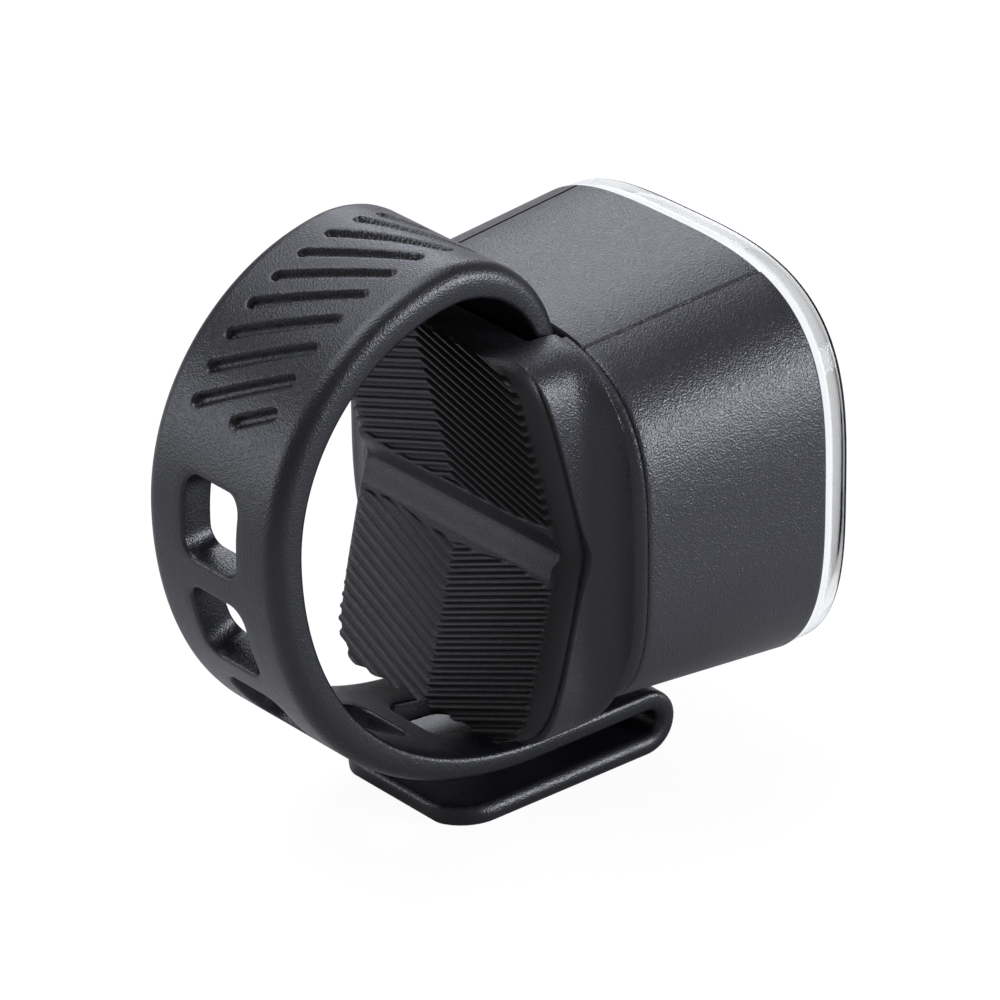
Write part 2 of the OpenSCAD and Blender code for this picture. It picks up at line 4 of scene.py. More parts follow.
import bmesh
import bpy
import numpy as np
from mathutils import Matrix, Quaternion, Vector


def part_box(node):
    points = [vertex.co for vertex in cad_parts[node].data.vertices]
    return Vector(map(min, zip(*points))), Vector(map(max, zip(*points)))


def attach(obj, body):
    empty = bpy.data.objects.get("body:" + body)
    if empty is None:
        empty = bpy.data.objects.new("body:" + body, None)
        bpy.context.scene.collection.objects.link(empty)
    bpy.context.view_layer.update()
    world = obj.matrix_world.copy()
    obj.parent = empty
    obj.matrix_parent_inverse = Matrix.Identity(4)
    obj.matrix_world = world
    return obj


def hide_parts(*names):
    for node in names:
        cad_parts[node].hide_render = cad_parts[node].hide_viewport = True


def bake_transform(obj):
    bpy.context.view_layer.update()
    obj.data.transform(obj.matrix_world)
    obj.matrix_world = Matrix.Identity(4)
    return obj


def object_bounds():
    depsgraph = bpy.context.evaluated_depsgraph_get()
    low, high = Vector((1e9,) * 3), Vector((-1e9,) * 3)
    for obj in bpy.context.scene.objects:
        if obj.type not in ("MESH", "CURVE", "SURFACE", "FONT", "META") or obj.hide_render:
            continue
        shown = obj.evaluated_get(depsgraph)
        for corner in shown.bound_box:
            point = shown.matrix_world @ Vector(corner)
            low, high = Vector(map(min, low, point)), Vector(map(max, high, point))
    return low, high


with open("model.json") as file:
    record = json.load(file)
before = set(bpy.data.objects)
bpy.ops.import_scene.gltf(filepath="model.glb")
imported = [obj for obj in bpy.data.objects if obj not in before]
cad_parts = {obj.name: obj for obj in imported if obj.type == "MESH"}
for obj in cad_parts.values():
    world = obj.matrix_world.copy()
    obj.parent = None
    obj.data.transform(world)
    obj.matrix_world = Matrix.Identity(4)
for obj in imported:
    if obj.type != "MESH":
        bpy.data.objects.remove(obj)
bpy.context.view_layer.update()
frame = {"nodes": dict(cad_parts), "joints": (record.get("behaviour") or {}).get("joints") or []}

mm = 0.001
print("frame loaded,", len(frame["nodes"]), "nodes")


def nodeBox(name):  # corners of a CAD node in mm
    low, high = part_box(name)
    return np.array(low) / mm, np.array(high) / mm


def jointPlace(name):  # place of a joint in m
    return next(j for j in frame["joints"] if j["name"] == name)["pos_m"]


bodyLow, bodyHigh = nodeBox("housing")
lensLow, lensHigh = nodeBox("front_lens")
rearY, rimY = bodyLow[1], bodyHigh[1]
axisZ = (lensLow[2] + lensHigh[2]) / 2


# Mesh tools, all sizes in mm

def newPiece(name, points, faces):
    mesh = bpy.data.meshes.new(name)
    mesh.from_pydata((np.asarray(points) * mm).tolist(), [], faces)
    piece = bpy.data.objects.new(name, mesh)
    bpy.context.scene.collection.objects.link(piece)
    return piece


def cleanMesh(piece, sharpAngle=38):  # weld, outward normals, smooth shading with sharp corners
    work = bmesh.new()
    work.from_mesh(piece.data)
    bmesh.ops.remove_doubles(work, verts=work.verts, dist=0.002 * mm)
    loose = [v for v in work.verts if not v.link_faces]
    bmesh.ops.delete(work, geom=loose, context="VERTS")
    bmesh.ops.recalc_face_normals(work, faces=work.faces)
    work.to_mesh(piece.data)
    work.free()
    piece.data.polygons.foreach_set("use_smooth", [True] * len(piece.data.polygons))
    piece.data.set_sharp_from_angle(angle=math.radians(sharpAngle))
    piece.data.update()
    return piece


def carve(piece, tool, how="DIFFERENCE"):  # one boolean, applied at once
    step = piece.modifiers.new("carve", "BOOLEAN")
    step.operation = how
    step.solver = "EXACT"
    step.object = tool
    graph = bpy.context.evaluated_depsgraph_get()
    result = bpy.data.meshes.new_from_object(piece.evaluated_get(graph))
    piece.modifiers.clear()
    piece.data = result
    bpy.data.objects.remove(tool)
    return piece


def ringFaces(firstRing, secondRing):  # quads between two closed rings of vertex numbers
    count = len(firstRing)
    return [(firstRing[i], firstRing[(i + 1) % count], secondRing[(i + 1) % count], secondRing[i])
            for i in range(count)]


def loftPiece(name, rings):  # closed skin through rings of points
    count = len(rings[0])
    faces = [tuple(range(count))]
    for k in range(len(rings) - 1):
        faces += ringFaces(range(k * count, (k + 1) * count), range((k + 1) * count, (k + 2) * count))
    faces.append(tuple(range((len(rings) - 1) * count, len(rings) * count)))
    return cleanMesh(newPiece(name, np.concatenate(rings), faces))


def gridFaces(first, rows, columns):  # quads of a grid of vertices that starts at a number
    return [(first + r * columns + c, first + r * columns + c + 1,
             first + (r + 1) * columns + c + 1, first + (r + 1) * columns + c)
            for r in range(rows - 1) for c in range(columns - 1)]


def gridBorder(rows, columns):  # vertex numbers once around a grid
    border = list(range(columns)) + [r * columns + columns - 1 for r in range(1, rows)]
    border += [(rows - 1) * columns + c for c in range(columns - 2, -1, -1)]
    return border + [r * columns for r in range(rows - 2, 0, -1)]


def slabPiece(name, lower, upper):  # solid between two grids of points of one shape
    rows, columns = lower.shape[:2]
    count = rows * columns
    faces = gridFaces(0, rows, columns) + gridFaces(count, rows, columns)
    border = gridBorder(rows, columns)
    faces += ringFaces(border, [b + count for b in border])
    points = np.concatenate([lower.reshape(-1, 3), upper.reshape(-1, 3)])
    return cleanMesh(newPiece(name, points, faces))


def rodPiece(name, start, end, radius, sides=40, endRound=0.0):  # round bar with softened ends
    start, end = Vector(start), Vector(end)
    turn = (end - start).to_track_quat("Z", "Y")
    length = (end - start).length
    angles = np.linspace(0, 2 * np.pi, sides, endpoint=False)
    profile = [(0, radius), (length, radius)]
    if endRound > 0:
        arc = np.radians(np.linspace(0, 90, 5))
        low = [(endRound * (1 - math.sin(a)), radius - endRound * (1 - math.cos(a))) for a in arc[::-1]]
        profile = low + [(length - h, r) for h, r in low[::-1]]
    rings = []
    for height, r in profile:
        ring = [start + turn @ Vector((r * math.cos(a), r * math.sin(a), height)) for a in angles]
        rings.append(np.array(ring))
    return loftPiece(name, rings)


def blockPiece(name, low, high, edge=0.0):  # block with rounded edges
    xs, ys, zs = zip(low, high)
    corners = [(x, y, z) for x in xs for y in ys for z in zs]
    faces = [(0, 1, 3, 2), (4, 6, 7, 5), (0, 4, 5, 1), (2, 3, 7, 6), (0, 2, 6, 4), (1, 5, 7, 3)]
    piece = newPiece(name, corners, faces)
    if edge > 0:
        work = bmesh.new()
        work.from_mesh(piece.data)
        bmesh.ops.bevel(work, geom=work.edges[:], offset=edge * mm, segments=3, affect="EDGES", profile=0.5)
        work.to_mesh(piece.data)
        work.free()
    return cleanMesh(piece)


def roundDrop(distance, radius):  # how far a rounded edge falls at a distance from the edge
    inside = np.clip(radius - distance, 0, radius)
    return radius - np.sqrt(radius ** 2 - inside ** 2)


def smoothStep(low, high, value):
    t = np.clip((value - low) / (high - low), 0, 1)
    return t * t * (3 - 2 * t)


def runningLength(u, v):  # length along a line of points, from its start
    return np.concatenate([[0], np.cumsum(np.hypot(np.diff(u), np.diff(v)))])


def powerPoint(angle, halfWidth, halfHeight, power):  # x and z on a rounded-square outline
    x = halfWidth * np.sign(np.cos(angle)) * np.abs(np.cos(angle)) ** (2 / power)
    z = halfHeight * np.sign(np.sin(angle)) * np.abs(np.sin(angle)) ** (2 / power)
    return x, z


denseTurn = np.linspace(0, 2 * np.pi, 6001)


def powerLoop(halfWidth, halfHeight, power, count):  # evenly spaced points on a rounded-square outline
    x, z = powerPoint(denseTurn, halfWidth, halfHeight, power)
    length = runningLength(x, z)
    s = np.linspace(0, length[-1], count, endpoint=False)
    return np.stack([np.interp(s, length, x), np.interp(s, length, z)], 1)


def roundedBox(halfU, halfV, radius, steps=8):  # outline of a rounded rectangle
    points = []
    for cu, cv, start in ((1, 1, 0), (-1, 1, 90), (-1, -1, 180), (1, -1, 270)):
        for a in np.radians(np.linspace(start, start + 90, steps)):
            u = cu * (halfU - radius) + radius * math.cos(a)
            v = cv * (halfV - radius) + radius * math.sin(a)
            points.append((u, v))
    return np.array(points)


# Shader tools

def newGroup(name, inputs, outputs):
    group = bpy.data.node_groups.new(name, "ShaderNodeTree")
    for socket, kind, value in inputs:
        made = group.interface.new_socket(socket, in_out="INPUT", socket_type=kind)
        made.default_value = value
    for socket, kind in outputs:
        group.interface.new_socket(socket, in_out="OUTPUT", socket_type=kind)
    start = group.nodes.new("NodeGroupInput")
    end = group.nodes.new("NodeGroupOutput")
    return group, start, end


def addNode(tree, kind, links=None, **values):  # node with its settings, sockets by name or number
    node = tree.nodes.new(kind)
    for name, value in values.items():
        setattr(node, name, value)
    for socket, source in (links or {}).items():
        target = node.inputs[socket]
        if isinstance(source, bpy.types.NodeSocket):
            tree.links.new(source, target)
        else:
            target.default_value = source
    return node


def addMath(tree, operation, *values):  # output of one sum
    return addNode(tree, "ShaderNodeMath", dict(enumerate(values)), operation=operation).outputs[0]


markHeight = {"spark": 0.00004, "brush": 0.00003}  # in m


def endMarks(group, start, end, height, distance, rough):  # normal and roughness out of a group of marks
    bump = addNode(group, "ShaderNodeBump", {
        "Height": height, "Strength": start.outputs["Depth"], "Distance": distance})
    group.links.new(bump.outputs["Normal"], end.inputs["Normal"])
    group.links.new(rough, end.inputs["Roughness"])
    return group


def sparkGrainGroup():  # fine spark-eroded mould texture
    group, start, end = newGroup("sparkGrain", [
        ("Scale", "NodeSocketFloat", 5000.0), ("Depth", "NodeSocketFloat", 0.5),
        ("Roughness", "NodeSocketFloat", 0.5), ("Spread", "NodeSocketFloat", 0.1)],
        [("Normal", "NodeSocketVector"), ("Roughness", "NodeSocketFloat")])
    place = addNode(group, "ShaderNodeTexCoord").outputs["Object"]
    fine = addNode(group, "ShaderNodeTexNoise", {
        "Vector": place, "Scale": start.outputs["Scale"], "Detail": 2.5, "Roughness": 0.65})
    pits = addNode(group, "ShaderNodeTexVoronoi", {
        "Vector": place, "Scale": start.outputs["Scale"]}, feature="SMOOTH_F1")
    height = addMath(group, "ADD", fine.outputs["Fac"], pits.outputs["Distance"])
    centred = addMath(group, "SUBTRACT", fine.outputs["Fac"], 0.5)
    rough = addMath(group, "MULTIPLY_ADD", centred, start.outputs["Spread"], start.outputs["Roughness"])
    return endMarks(group, start, end, height, markHeight["spark"], rough)


def cloudTintGroup():  # slow drift between two shades of one finish
    group, start, end = newGroup("cloudTint", [
        ("Shade", "NodeSocketColor", (0.02, 0.02, 0.02, 1)),
        ("Light", "NodeSocketColor", (0.03, 0.03, 0.03, 1)),
        ("Scale", "NodeSocketFloat", 120.0)], [("Color", "NodeSocketColor")])
    place = addNode(group, "ShaderNodeTexCoord").outputs["Object"]
    cloud = addNode(group, "ShaderNodeTexNoise", {
        "Vector": place, "Scale": start.outputs["Scale"], "Detail": 3.0})
    mix = addNode(group, "ShaderNodeMix", {
        "Factor": cloud.outputs["Fac"], 6: start.outputs["Shade"], 7: start.outputs["Light"]},
        data_type="RGBA")
    group.links.new(mix.outputs[2], end.inputs["Color"])
    return group


def brushedGroup():  # short scratches along one axis on metal
    group, start, end = newGroup("brushed", [
        ("Scale", "NodeSocketFloat", 900.0), ("Stretch", "NodeSocketVector", (1, 1, 12)),
        ("Roughness", "NodeSocketFloat", 0.3), ("Depth", "NodeSocketFloat", 0.15)],
        [("Normal", "NodeSocketVector"), ("Roughness", "NodeSocketFloat")])
    place = addNode(group, "ShaderNodeTexCoord").outputs["Object"]
    pulled = addNode(group, "ShaderNodeVectorMath", {
        0: place, 1: start.outputs["Stretch"]}, operation="MULTIPLY")
    lines = addNode(group, "ShaderNodeTexNoise", {
        "Vector": pulled.outputs[0], "Scale": start.outputs["Scale"], "Detail": 2.0})
    rough = addMath(group, "MULTIPLY_ADD", lines.outputs["Fac"], 0.18, start.outputs["Roughness"])
    return endMarks(group, start, end, lines.outputs["Fac"], markHeight["brush"], rough)


sparkGrain = sparkGrainGroup()
cloudTint = cloudTintGroup()
brushed = brushedGroup()
tintScale = {"grained": 140, "metal": 300, "clear": 60}


def newMaterial(name, fixed):  # Principled material with its fixed values on the shader's own sockets
    material = bpy.data.materials.new(name)
    material.use_nodes = True
    tree = material.node_tree
    shader = tree.nodes["Principled BSDF"]
    for socket, value in fixed.items():
        shader.inputs[socket].default_value = value
    return material, tree, shader


def finishShader(tree, shader, look, scale, marks, values):  # tint drift, and marks on roughness and normal
    tint = addNode(tree, "ShaderNodeGroup", {
        "Shade": (*look["shade"], 1), "Light": (*look["light"], 1), "Scale": scale}, node_tree=cloudTint)
    tree.links.new(tint.outputs["Color"], shader.inputs["Base Color"])
    marked = addNode(tree, "ShaderNodeGroup", values, node_tree=marks)
    for socket in ("Roughness", "Normal"):
        tree.links.new(marked.outputs[socket], shader.inputs[socket])


def grainedMaterial(name, look):  # moulded plastic or rubber
    material, tree, shader = newMaterial(name, look.get("fixed", {}))
    finishShader(tree, shader, look, tintScale["grained"], sparkGrain, {
        "Scale": look["grain"], "Depth": look["depth"], "Roughness": look["rough"],
        "Spread": look.get("spread", 0.2)})
    return material


def metalMaterial(name, look):  # brushed or plated metal
    material, tree, shader = newMaterial(name, {"Metallic": 1.0})
    finishShader(tree, shader, look, tintScale["metal"], brushed, {
        "Scale": look.get("scale", 900), "Stretch": look.get("stretch", (1, 1, 12)),
        "Roughness": look["rough"], "Depth": look.get("depth", 0.15)})
    return material


def clearMaterial(name, look):  # polished clear plastic
    material, tree, shader = newMaterial(name, {
        "Transmission Weight": 1.0, "IOR": look["ior"], "Metallic": 0.0})
    finishShader(tree, shader, look, tintScale["clear"], sparkGrain, {
        "Scale": look["grain"], "Depth": look["depth"], "Roughness": look["rough"], "Spread": look["rough"]})
    return material


plasticLook = {"shade": (0.0095, 0.0095, 0.0125), "light": (0.0145, 0.0145, 0.0185), "grain": 7000,
               "depth": 0.95, "rough": 0.34, "spread": 0.35, "fixed": {"Specular IOR Level": 0.5}}
strapLook = {"shade": (0.0035, 0.0036, 0.0056), "light": (0.006, 0.0062, 0.0088), "grain": 7000,
             "depth": 0.7, "rough": 0.35, "spread": 0.35, "fixed": {"Specular IOR Level": 0.45}}
padLook = {"shade": (0.0032, 0.0033, 0.0036), "light": (0.0048, 0.0048, 0.0054), "grain": 7000,
           "depth": 0.5, "rough": 0.46, "spread": 0.2, "fixed": {"Specular IOR Level": 0.35}}
coverLook = {"shade": (0.012, 0.012, 0.014), "light": (0.018, 0.018, 0.02), "grain": 4200,
             "depth": 0.3, "rough": 0.55, "fixed": {"Specular IOR Level": 0.4}}
lensLook = {"shade": (0.9, 0.92, 0.94), "light": (0.96, 0.97, 0.98), "grain": 300, "depth": 0.01,
            "rough": 0.01, "ior": 1.14}
opticLook = {"shade": (0.98, 0.98, 1.0), "light": (1.0, 1.0, 1.0), "grain": 500, "depth": 0.02,
             "rough": 0.02, "ior": 1.5}

shellPlastic = grainedMaterial("charcoalPlastic", plasticLook)
strapRubber = grainedMaterial("strapRubber", strapLook)
padRubber = grainedMaterial("padRubber", padLook)
coverRubber = grainedMaterial("coverRubber", coverLook)
clearLensPlastic = clearMaterial("clearLensPlastic", lensLook)
clearOpticPlastic = clearMaterial("clearOpticPlastic", opticLook)


def setFinish(piece, material):
    piece.data.materials.clear()
    piece.data.materials.append(material)


def dress(piece, material, body=None, nodes=()):  # finish, body and replaced nodes
    setFinish(piece, material)
    if body:
        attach(piece, body)
    if nodes:
        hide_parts(*nodes)
    return piece


print("materials ready")

# Lamp body: the outline at a station along the beam

lampBody = {"rearHalfHeight": 15.6, "edgeStep": 0.1, "power": 3.2, "wall": 1.8, "ledge": 0.8, "backWall": 1.6,
            "endRound": 0.35, "stations": 36, "ringPoints": 320, "cavityPoints": 160}
rimHalf = (bodyHigh[0], (lensHigh[2] - lensLow[2]) / 2 + lampBody["edgeStep"])
bracketLow, bracketHigh = nodeBox("mount_bracket")
rearHalf = (bracketHigh[0] - lampBody["edgeStep"], lampBody["rearHalfHeight"])
spreaderY = nodeBox("heat_spreader")[0][1]


def alongBody(y):  # share of the way from the body's back to its rim
    return (y - rearY) / (rimY - rearY)


def halfSizes(y):
    t = alongBody(y)
    return rearHalf[0] + (rimHalf[0] - rearHalf[0]) * t, rearHalf[1] + (rimHalf[1] - rearHalf[1]) * t


def bodyRing(y, inset, count=lampBody["ringPoints"]):
    halfWidth, halfHeight = halfSizes(y)
    loop = powerLoop(halfWidth - inset, halfHeight - inset, lampBody["power"], count)
    return np.stack([loop[:, 0], np.full(count, y), loop[:, 1] + axisZ], 1)


def powerFall(share):  # how far the outline still reaches at a share of its other half size
    return (1 - np.clip(share, 0, 1) ** lampBody["power"]) ** (1 / lampBody["power"])


def topZ(x, y, inset):  # height of the body's top, sunk by an inset
    halfWidth, halfHeight = halfSizes(y)
    return axisZ + (halfHeight - inset) * powerFall(np.abs(x) / (halfWidth - inset))


def sideX(y, z, inset):  # reach of the body's side wall, sunk by an inset
    halfWidth, halfHeight = halfSizes(y)
    return (halfWidth - inset) * powerFall(np.abs(z - axisZ) / (halfHeight - inset))


# Press panel in the body's top, with the stem that reaches the switch

pressPanel = {"rearHalf": 9.75, "frontHalf": 10.4, "seam": 0.14, "thickness": 1.1, "tongue": 0.6,
              "travel": 0.4, "round": 0.18, "skin": 0.01, "columns": 90, "rows": 60, "stemRadius": 1.8,
              "stemSunk": 0.5, "stemGap": 0.2, "sealGap": 0.15, "rearGap": 0.1, "frontGap": 0.15,
              "floorGap": 0.1, "stepBack": 0.4, "crowdAcross": 1.6, "crowdAlong": 0.08}
stemLow, stemHigh = nodeBox("button_seal")
stemY = (stemLow[1] + stemHigh[1]) / 2
plungerTop = nodeBox("switch_plunger")[1][2]
stepY = spreaderY - pressPanel["stepBack"]


def topGrid(y0, y1, grow, inset, edgeRound=0.0):  # grid on the body's top between the panel's seams
    y = np.linspace(y0, y1, pressPanel["rows"])
    share = np.linspace(-1, 1, pressPanel["columns"])
    if edgeRound > 0:  # closer lines near the edges
        share = np.sign(share) * (1 - (1 - np.abs(share)) ** pressPanel["crowdAcross"])
        near = np.linspace(0, 1, pressPanel["rows"])
        y = y0 + (y1 - y0) * (near - pressPanel["crowdAlong"] * np.sin(2 * np.pi * near))
    yy = np.repeat(y[:, None], len(share), 1)
    half = pressPanel["rearHalf"] + (pressPanel["frontHalf"] - pressPanel["rearHalf"]) * alongBody(yy)
    xx = share[None, :] * (half + grow)
    zz = topZ(xx, yy, inset)
    if edgeRound > 0:
        zz = zz - roundDrop(half + grow - np.abs(xx), edgeRound)
        zz = zz - roundDrop(np.minimum(yy - y0, y1 - yy), edgeRound)
    return np.stack([xx, yy, zz], 2)


def makePressPanel():
    upper = topGrid(rearY + pressPanel["rearGap"], rimY - pressPanel["frontGap"], 0, pressPanel["skin"],
                    pressPanel["round"])
    lower = upper.copy()
    thin = np.where(lower[:, :, 1] > stepY, pressPanel["tongue"], pressPanel["thickness"])
    lower[:, :, 2] = topZ(lower[:, :, 0], lower[:, :, 1], thin)
    panel = slabPiece("pressPanel", lower, upper)
    stemTop = topZ(0, stemY, pressPanel["stemSunk"])
    stem = rodPiece("stem", (0, stemY, plungerTop), (0, stemY, stemTop), pressPanel["stemRadius"])
    return cleanMesh(carve(panel, stem, "UNION"))


# Port cover in the left wall, swinging on a bead with two ears

portCover = {"halfHeight": 3.2, "round": 1.1, "thickness": 1.1, "edge": 0.2, "inset": 0.05, "skin": 0.02,
             "gap": 0.1, "recess": 1.2, "hingeRoom": 0.25, "beadRadius": 0.6, "beadRound": 0.12,
             "earRadius": 0.4, "plugInset": 0.6, "plugOut": 1.0, "plugIn": 0.7, "plugRound": 0.3,
             "nailPast": 0.1, "nailRadius": 1.15, "nailHollow": 1.3, "nailDepth": 16.6,
             "holeGap": (0.15, 0.1), "holeRound": 1.4}
coverLow, coverHigh = nodeBox("usb_cover")
socketLow, socketHigh = nodeBox("usb_socket")
hingeX, hingeY = [v / mm for v in jointPlace("port_cover_hinge")[:2]]
coverZ = (socketLow[2] + socketHigh[2]) / 2
nailY = coverHigh[1] + portCover["nailPast"]


def lidSurface(outline, inset):  # points on the left wall over a YZ outline
    y, z = outline[:, 0], outline[:, 1]
    return np.stack([-sideX(y, z, inset), y, z], 1)


def coverOutline(grow):
    y0, y1 = hingeY, coverHigh[1]
    loop = roundedBox((y1 - y0) / 2 + grow, portCover["halfHeight"] + grow, portCover["round"])
    return loop + np.array([(y0 + y1) / 2, coverZ])


def lidPiece(name, outline, outer, inner, edge):  # curved plate over an outline, with a rounded outer edge
    middle = outline.mean(0)
    loops = []
    for share in (0.03, 0.3, 0.6, 0.85):
        loops.append(lidSurface(middle + (outline - middle) * share, outer))
    tangent = np.roll(outline, -1, 0) - np.roll(outline, 1, 0)
    inward = np.stack([-tangent[:, 1], tangent[:, 0]], 1) / np.linalg.norm(tangent, axis=1)[:, None]
    for a in np.radians((0, 30, 60, 90)):
        moved = outline + inward * edge * (1 - math.sin(a))
        loops.append(lidSurface(moved, outer + edge * (1 - math.cos(a))))
    loops.append(lidSurface(outline, inner))
    for share in (0.85, 0.5, 0.03):
        loops.append(lidSurface(middle + (outline - middle) * share, inner))
    return loftPiece(name, loops)


def hingeRod(name, low, high, radius, **more):  # upright bar on the cover's hinge
    return rodPiece(name, (hingeX, hingeY, low), (hingeX, hingeY, high), radius, **more)


def makePortCover():
    outline = coverOutline(-portCover["inset"])
    cover = lidPiece("portCover", outline, portCover["skin"], portCover["thickness"], portCover["edge"])
    half = portCover["halfHeight"]
    radius, endRound = portCover["beadRadius"], portCover["beadRound"]
    carve(cover, hingeRod("bead", coverZ - half, coverZ + half, radius, endRound=endRound), "UNION")
    carve(cover, hingeRod("ears", coverLow[2], coverHigh[2], portCover["earRadius"], sides=24), "UNION")
    inset = portCover["plugInset"]
    plugLow = (socketLow[0] - portCover["plugOut"], socketLow[1] + inset, socketLow[2] + inset)
    plugHigh = (socketLow[0] + portCover["plugIn"], socketHigh[1] - inset, socketHigh[2] - inset)
    carve(cover, blockPiece("plug", plugLow, plugHigh, portCover["plugRound"]), "UNION")
    carve(cover, rodPiece("nail", (-20, nailY, coverZ), (-14, nailY, coverZ), portCover["nailRadius"], 32))
    return cleanMesh(cover)


# Housing: body shell with the panel's recess, the switch's holes and the port

def carvePanelRecess(housing):
    room = pressPanel["travel"] + pressPanel["floorGap"]
    lower = topGrid(rearY - 1, rimY + 1, pressPanel["seam"], 0)
    inFront = lower[:, :, 1] > stepY + pressPanel["floorGap"]
    sunk = np.where(inFront, pressPanel["tongue"] + room, pressPanel["thickness"] + room)
    lower[:, :, 2] = topZ(lower[:, :, 0], lower[:, :, 1], sunk)
    upper = lower.copy()
    upper[:, :, 2] = axisZ + 25
    carve(housing, slabPiece("panelRecess", lower, upper))
    sealRadius = (stemHigh[0] - stemLow[0]) / 2 + pressPanel["sealGap"]
    carve(housing, rodPiece("sealSeat", (0, stemY, stemLow[2] - 0.02), (0, stemY, 25), sealRadius))
    stemRadius = pressPanel["stemRadius"] + pressPanel["stemGap"]
    carve(housing, rodPiece("stemHole", (0, stemY, 8), (0, stemY, 25), stemRadius))


def carvePort(housing):  # shallow seat for the cover, hinge hollow, nail hollow, socket hole
    carve(housing, lidPiece("coverSeat", coverOutline(portCover["gap"]), -1.0, portCover["recess"], 0.01))
    room = portCover["beadRadius"] + portCover["hingeRoom"]
    low = coverZ - portCover["halfHeight"] - portCover["gap"]
    high = coverZ + portCover["halfHeight"] + portCover["gap"]
    carve(housing, hingeRod("hingeHollow", low, high, room))
    carve(housing, blockPiece("hingeSide", (hingeX - 4, hingeY - room, low), (hingeX, hingeY + room, high)))
    nailStart, nailEnd = (-22, nailY, coverZ), (-portCover["nailDepth"], nailY, coverZ)
    carve(housing, rodPiece("nailHollow", nailStart, nailEnd, portCover["nailHollow"], 32))
    halfY = (socketHigh[1] - socketLow[1]) / 2 + portCover["holeGap"][0]
    halfZ = (socketHigh[2] - socketLow[2]) / 2 + portCover["holeGap"][1]
    hole = roundedBox(halfY, halfZ, portCover["holeRound"])
    hole = hole + np.array([(socketLow[1] + socketHigh[1]) / 2, coverZ])
    ends = [np.concatenate([np.full((len(hole), 1), x), hole], 1) for x in (-20, -5)]
    carve(housing, loftPiece("socketHole", ends))


def makeHousing():
    edge = lampBody["endRound"]
    near = np.array([0, 0.03, 0.1, 0.2])
    between = np.linspace(rearY + edge, rimY - edge, lampBody["stations"])
    y = np.concatenate([rearY + near, between, rimY - near[::-1]])
    drop = roundDrop(np.minimum(y - rearY, rimY - y), edge)
    housing = loftPiece("lampBody", [bodyRing(a, b) for a, b in zip(y, drop)])
    deep, wide, count = lampBody["wall"] + lampBody["ledge"], lampBody["wall"], lampBody["cavityPoints"]
    steps = ((rearY + lampBody["backWall"], deep), (spreaderY, deep),
             (spreaderY + 0.01, wide), (rimY + 1, wide))
    carve(housing, loftPiece("cavity", [bodyRing(a, inset, count) for a, inset in steps]))
    carvePanelRecess(housing)
    carvePort(housing)
    return cleanMesh(housing)


dress(makeHousing(), shellPlastic, "lamp", ["housing"])
dress(makePressPanel(), shellPlastic, "press_panel", ["power_button"])
dress(makePortCover(), coverRubber, "port_cover", ["usb_cover"])
print("lamp body, press panel and port cover made")

# Clear lens: straight edge band, domed front, hollow behind it down to a flange on the body's rim

clearLens = {"edge": 2.3, "dome": 0.9, "wall": 0.8, "edgeRound": 0.5, "edgeInset": 0.12, "sideInset": 1.3,
             "innerRound": 0.3, "flange": 0.15, "skirtInset": 2.04, "skirtRound": 0.06, "boreInset": 3.15,
             "points": 320}
domeShares = (0.97, 0.92, 0.85, 0.75, 0.63, 0.48, 0.32, 0.16, 0.02)


def lensRing(rise, inset, share=1.0):
    halfWidth, halfHeight = (rimHalf[0] - inset) * share, (rimHalf[1] - inset) * share
    loop = powerLoop(halfWidth, halfHeight, lampBody["power"], clearLens["points"])
    return np.stack([loop[:, 0], np.full(len(loop), rimY + rise), loop[:, 1] + axisZ], 1)


def makeLens():
    edge, dome, wall = clearLens["edge"], clearLens["dome"], clearLens["wall"]
    edgeRound, edgeInset, innerRound = clearLens["edgeRound"], clearLens["edgeInset"], clearLens["innerRound"]
    side, bore, skirt = clearLens["sideInset"], clearLens["boreInset"], clearLens["skirtInset"]
    inside, flange, foot = edge - wall, clearLens["flange"], lensLow[1] - rimY
    soft = clearLens["skirtRound"]
    rings = [lensRing(0, 0.16), lensRing(0.06, 0.1), lensRing(0.6, 0.1), lensRing(1.2, 0.11)]
    for a in np.radians(np.linspace(0, 90, 8)):  # rounded front edge
        inset = edgeInset + edgeRound * (1 - math.cos(a))
        rings.append(lensRing(edge - edgeRound * (1 - math.sin(a)), inset))
    for share in domeShares:
        rings.append(lensRing(edge + dome * (1 - share ** 2), edgeRound + edgeInset, share))
    for share in domeShares[::-1]:
        rings.append(lensRing(inside + dome * (1 - share ** 2), side + innerRound, share))
    profile = [(inside - 0.02, side + innerRound), (inside - 0.1, side + 0.08), (inside - innerRound, side),
               (flange, side), (flange, bore), (-0.1, bore), (foot + soft, bore), (foot, bore - soft),
               (foot, skirt + soft), (foot + soft, skirt), (-0.05, skirt), (0, skirt - 0.05)]
    rings += [lensRing(rise, inset) for rise, inset in profile]
    return loftPiece("clearLens", rings + [rings[0]])


def closeLensSeam(lens):  # the last ring lies on the first: weld them and drop the two end plugs
    work = bmesh.new()
    work.from_mesh(lens.data)
    plugs = [f for f in work.faces if len(f.verts) > 8]
    bmesh.ops.delete(work, geom=plugs, context="FACES_ONLY")
    work.to_mesh(lens.data)
    work.free()
    return cleanMesh(lens, 50)


dress(closeLensSeam(makeLens()), clearLensPlastic, "lamp", ["front_lens"])
print("lens made")

# Bracket: flared lip, hollow cove, frame with a V-shaped seat

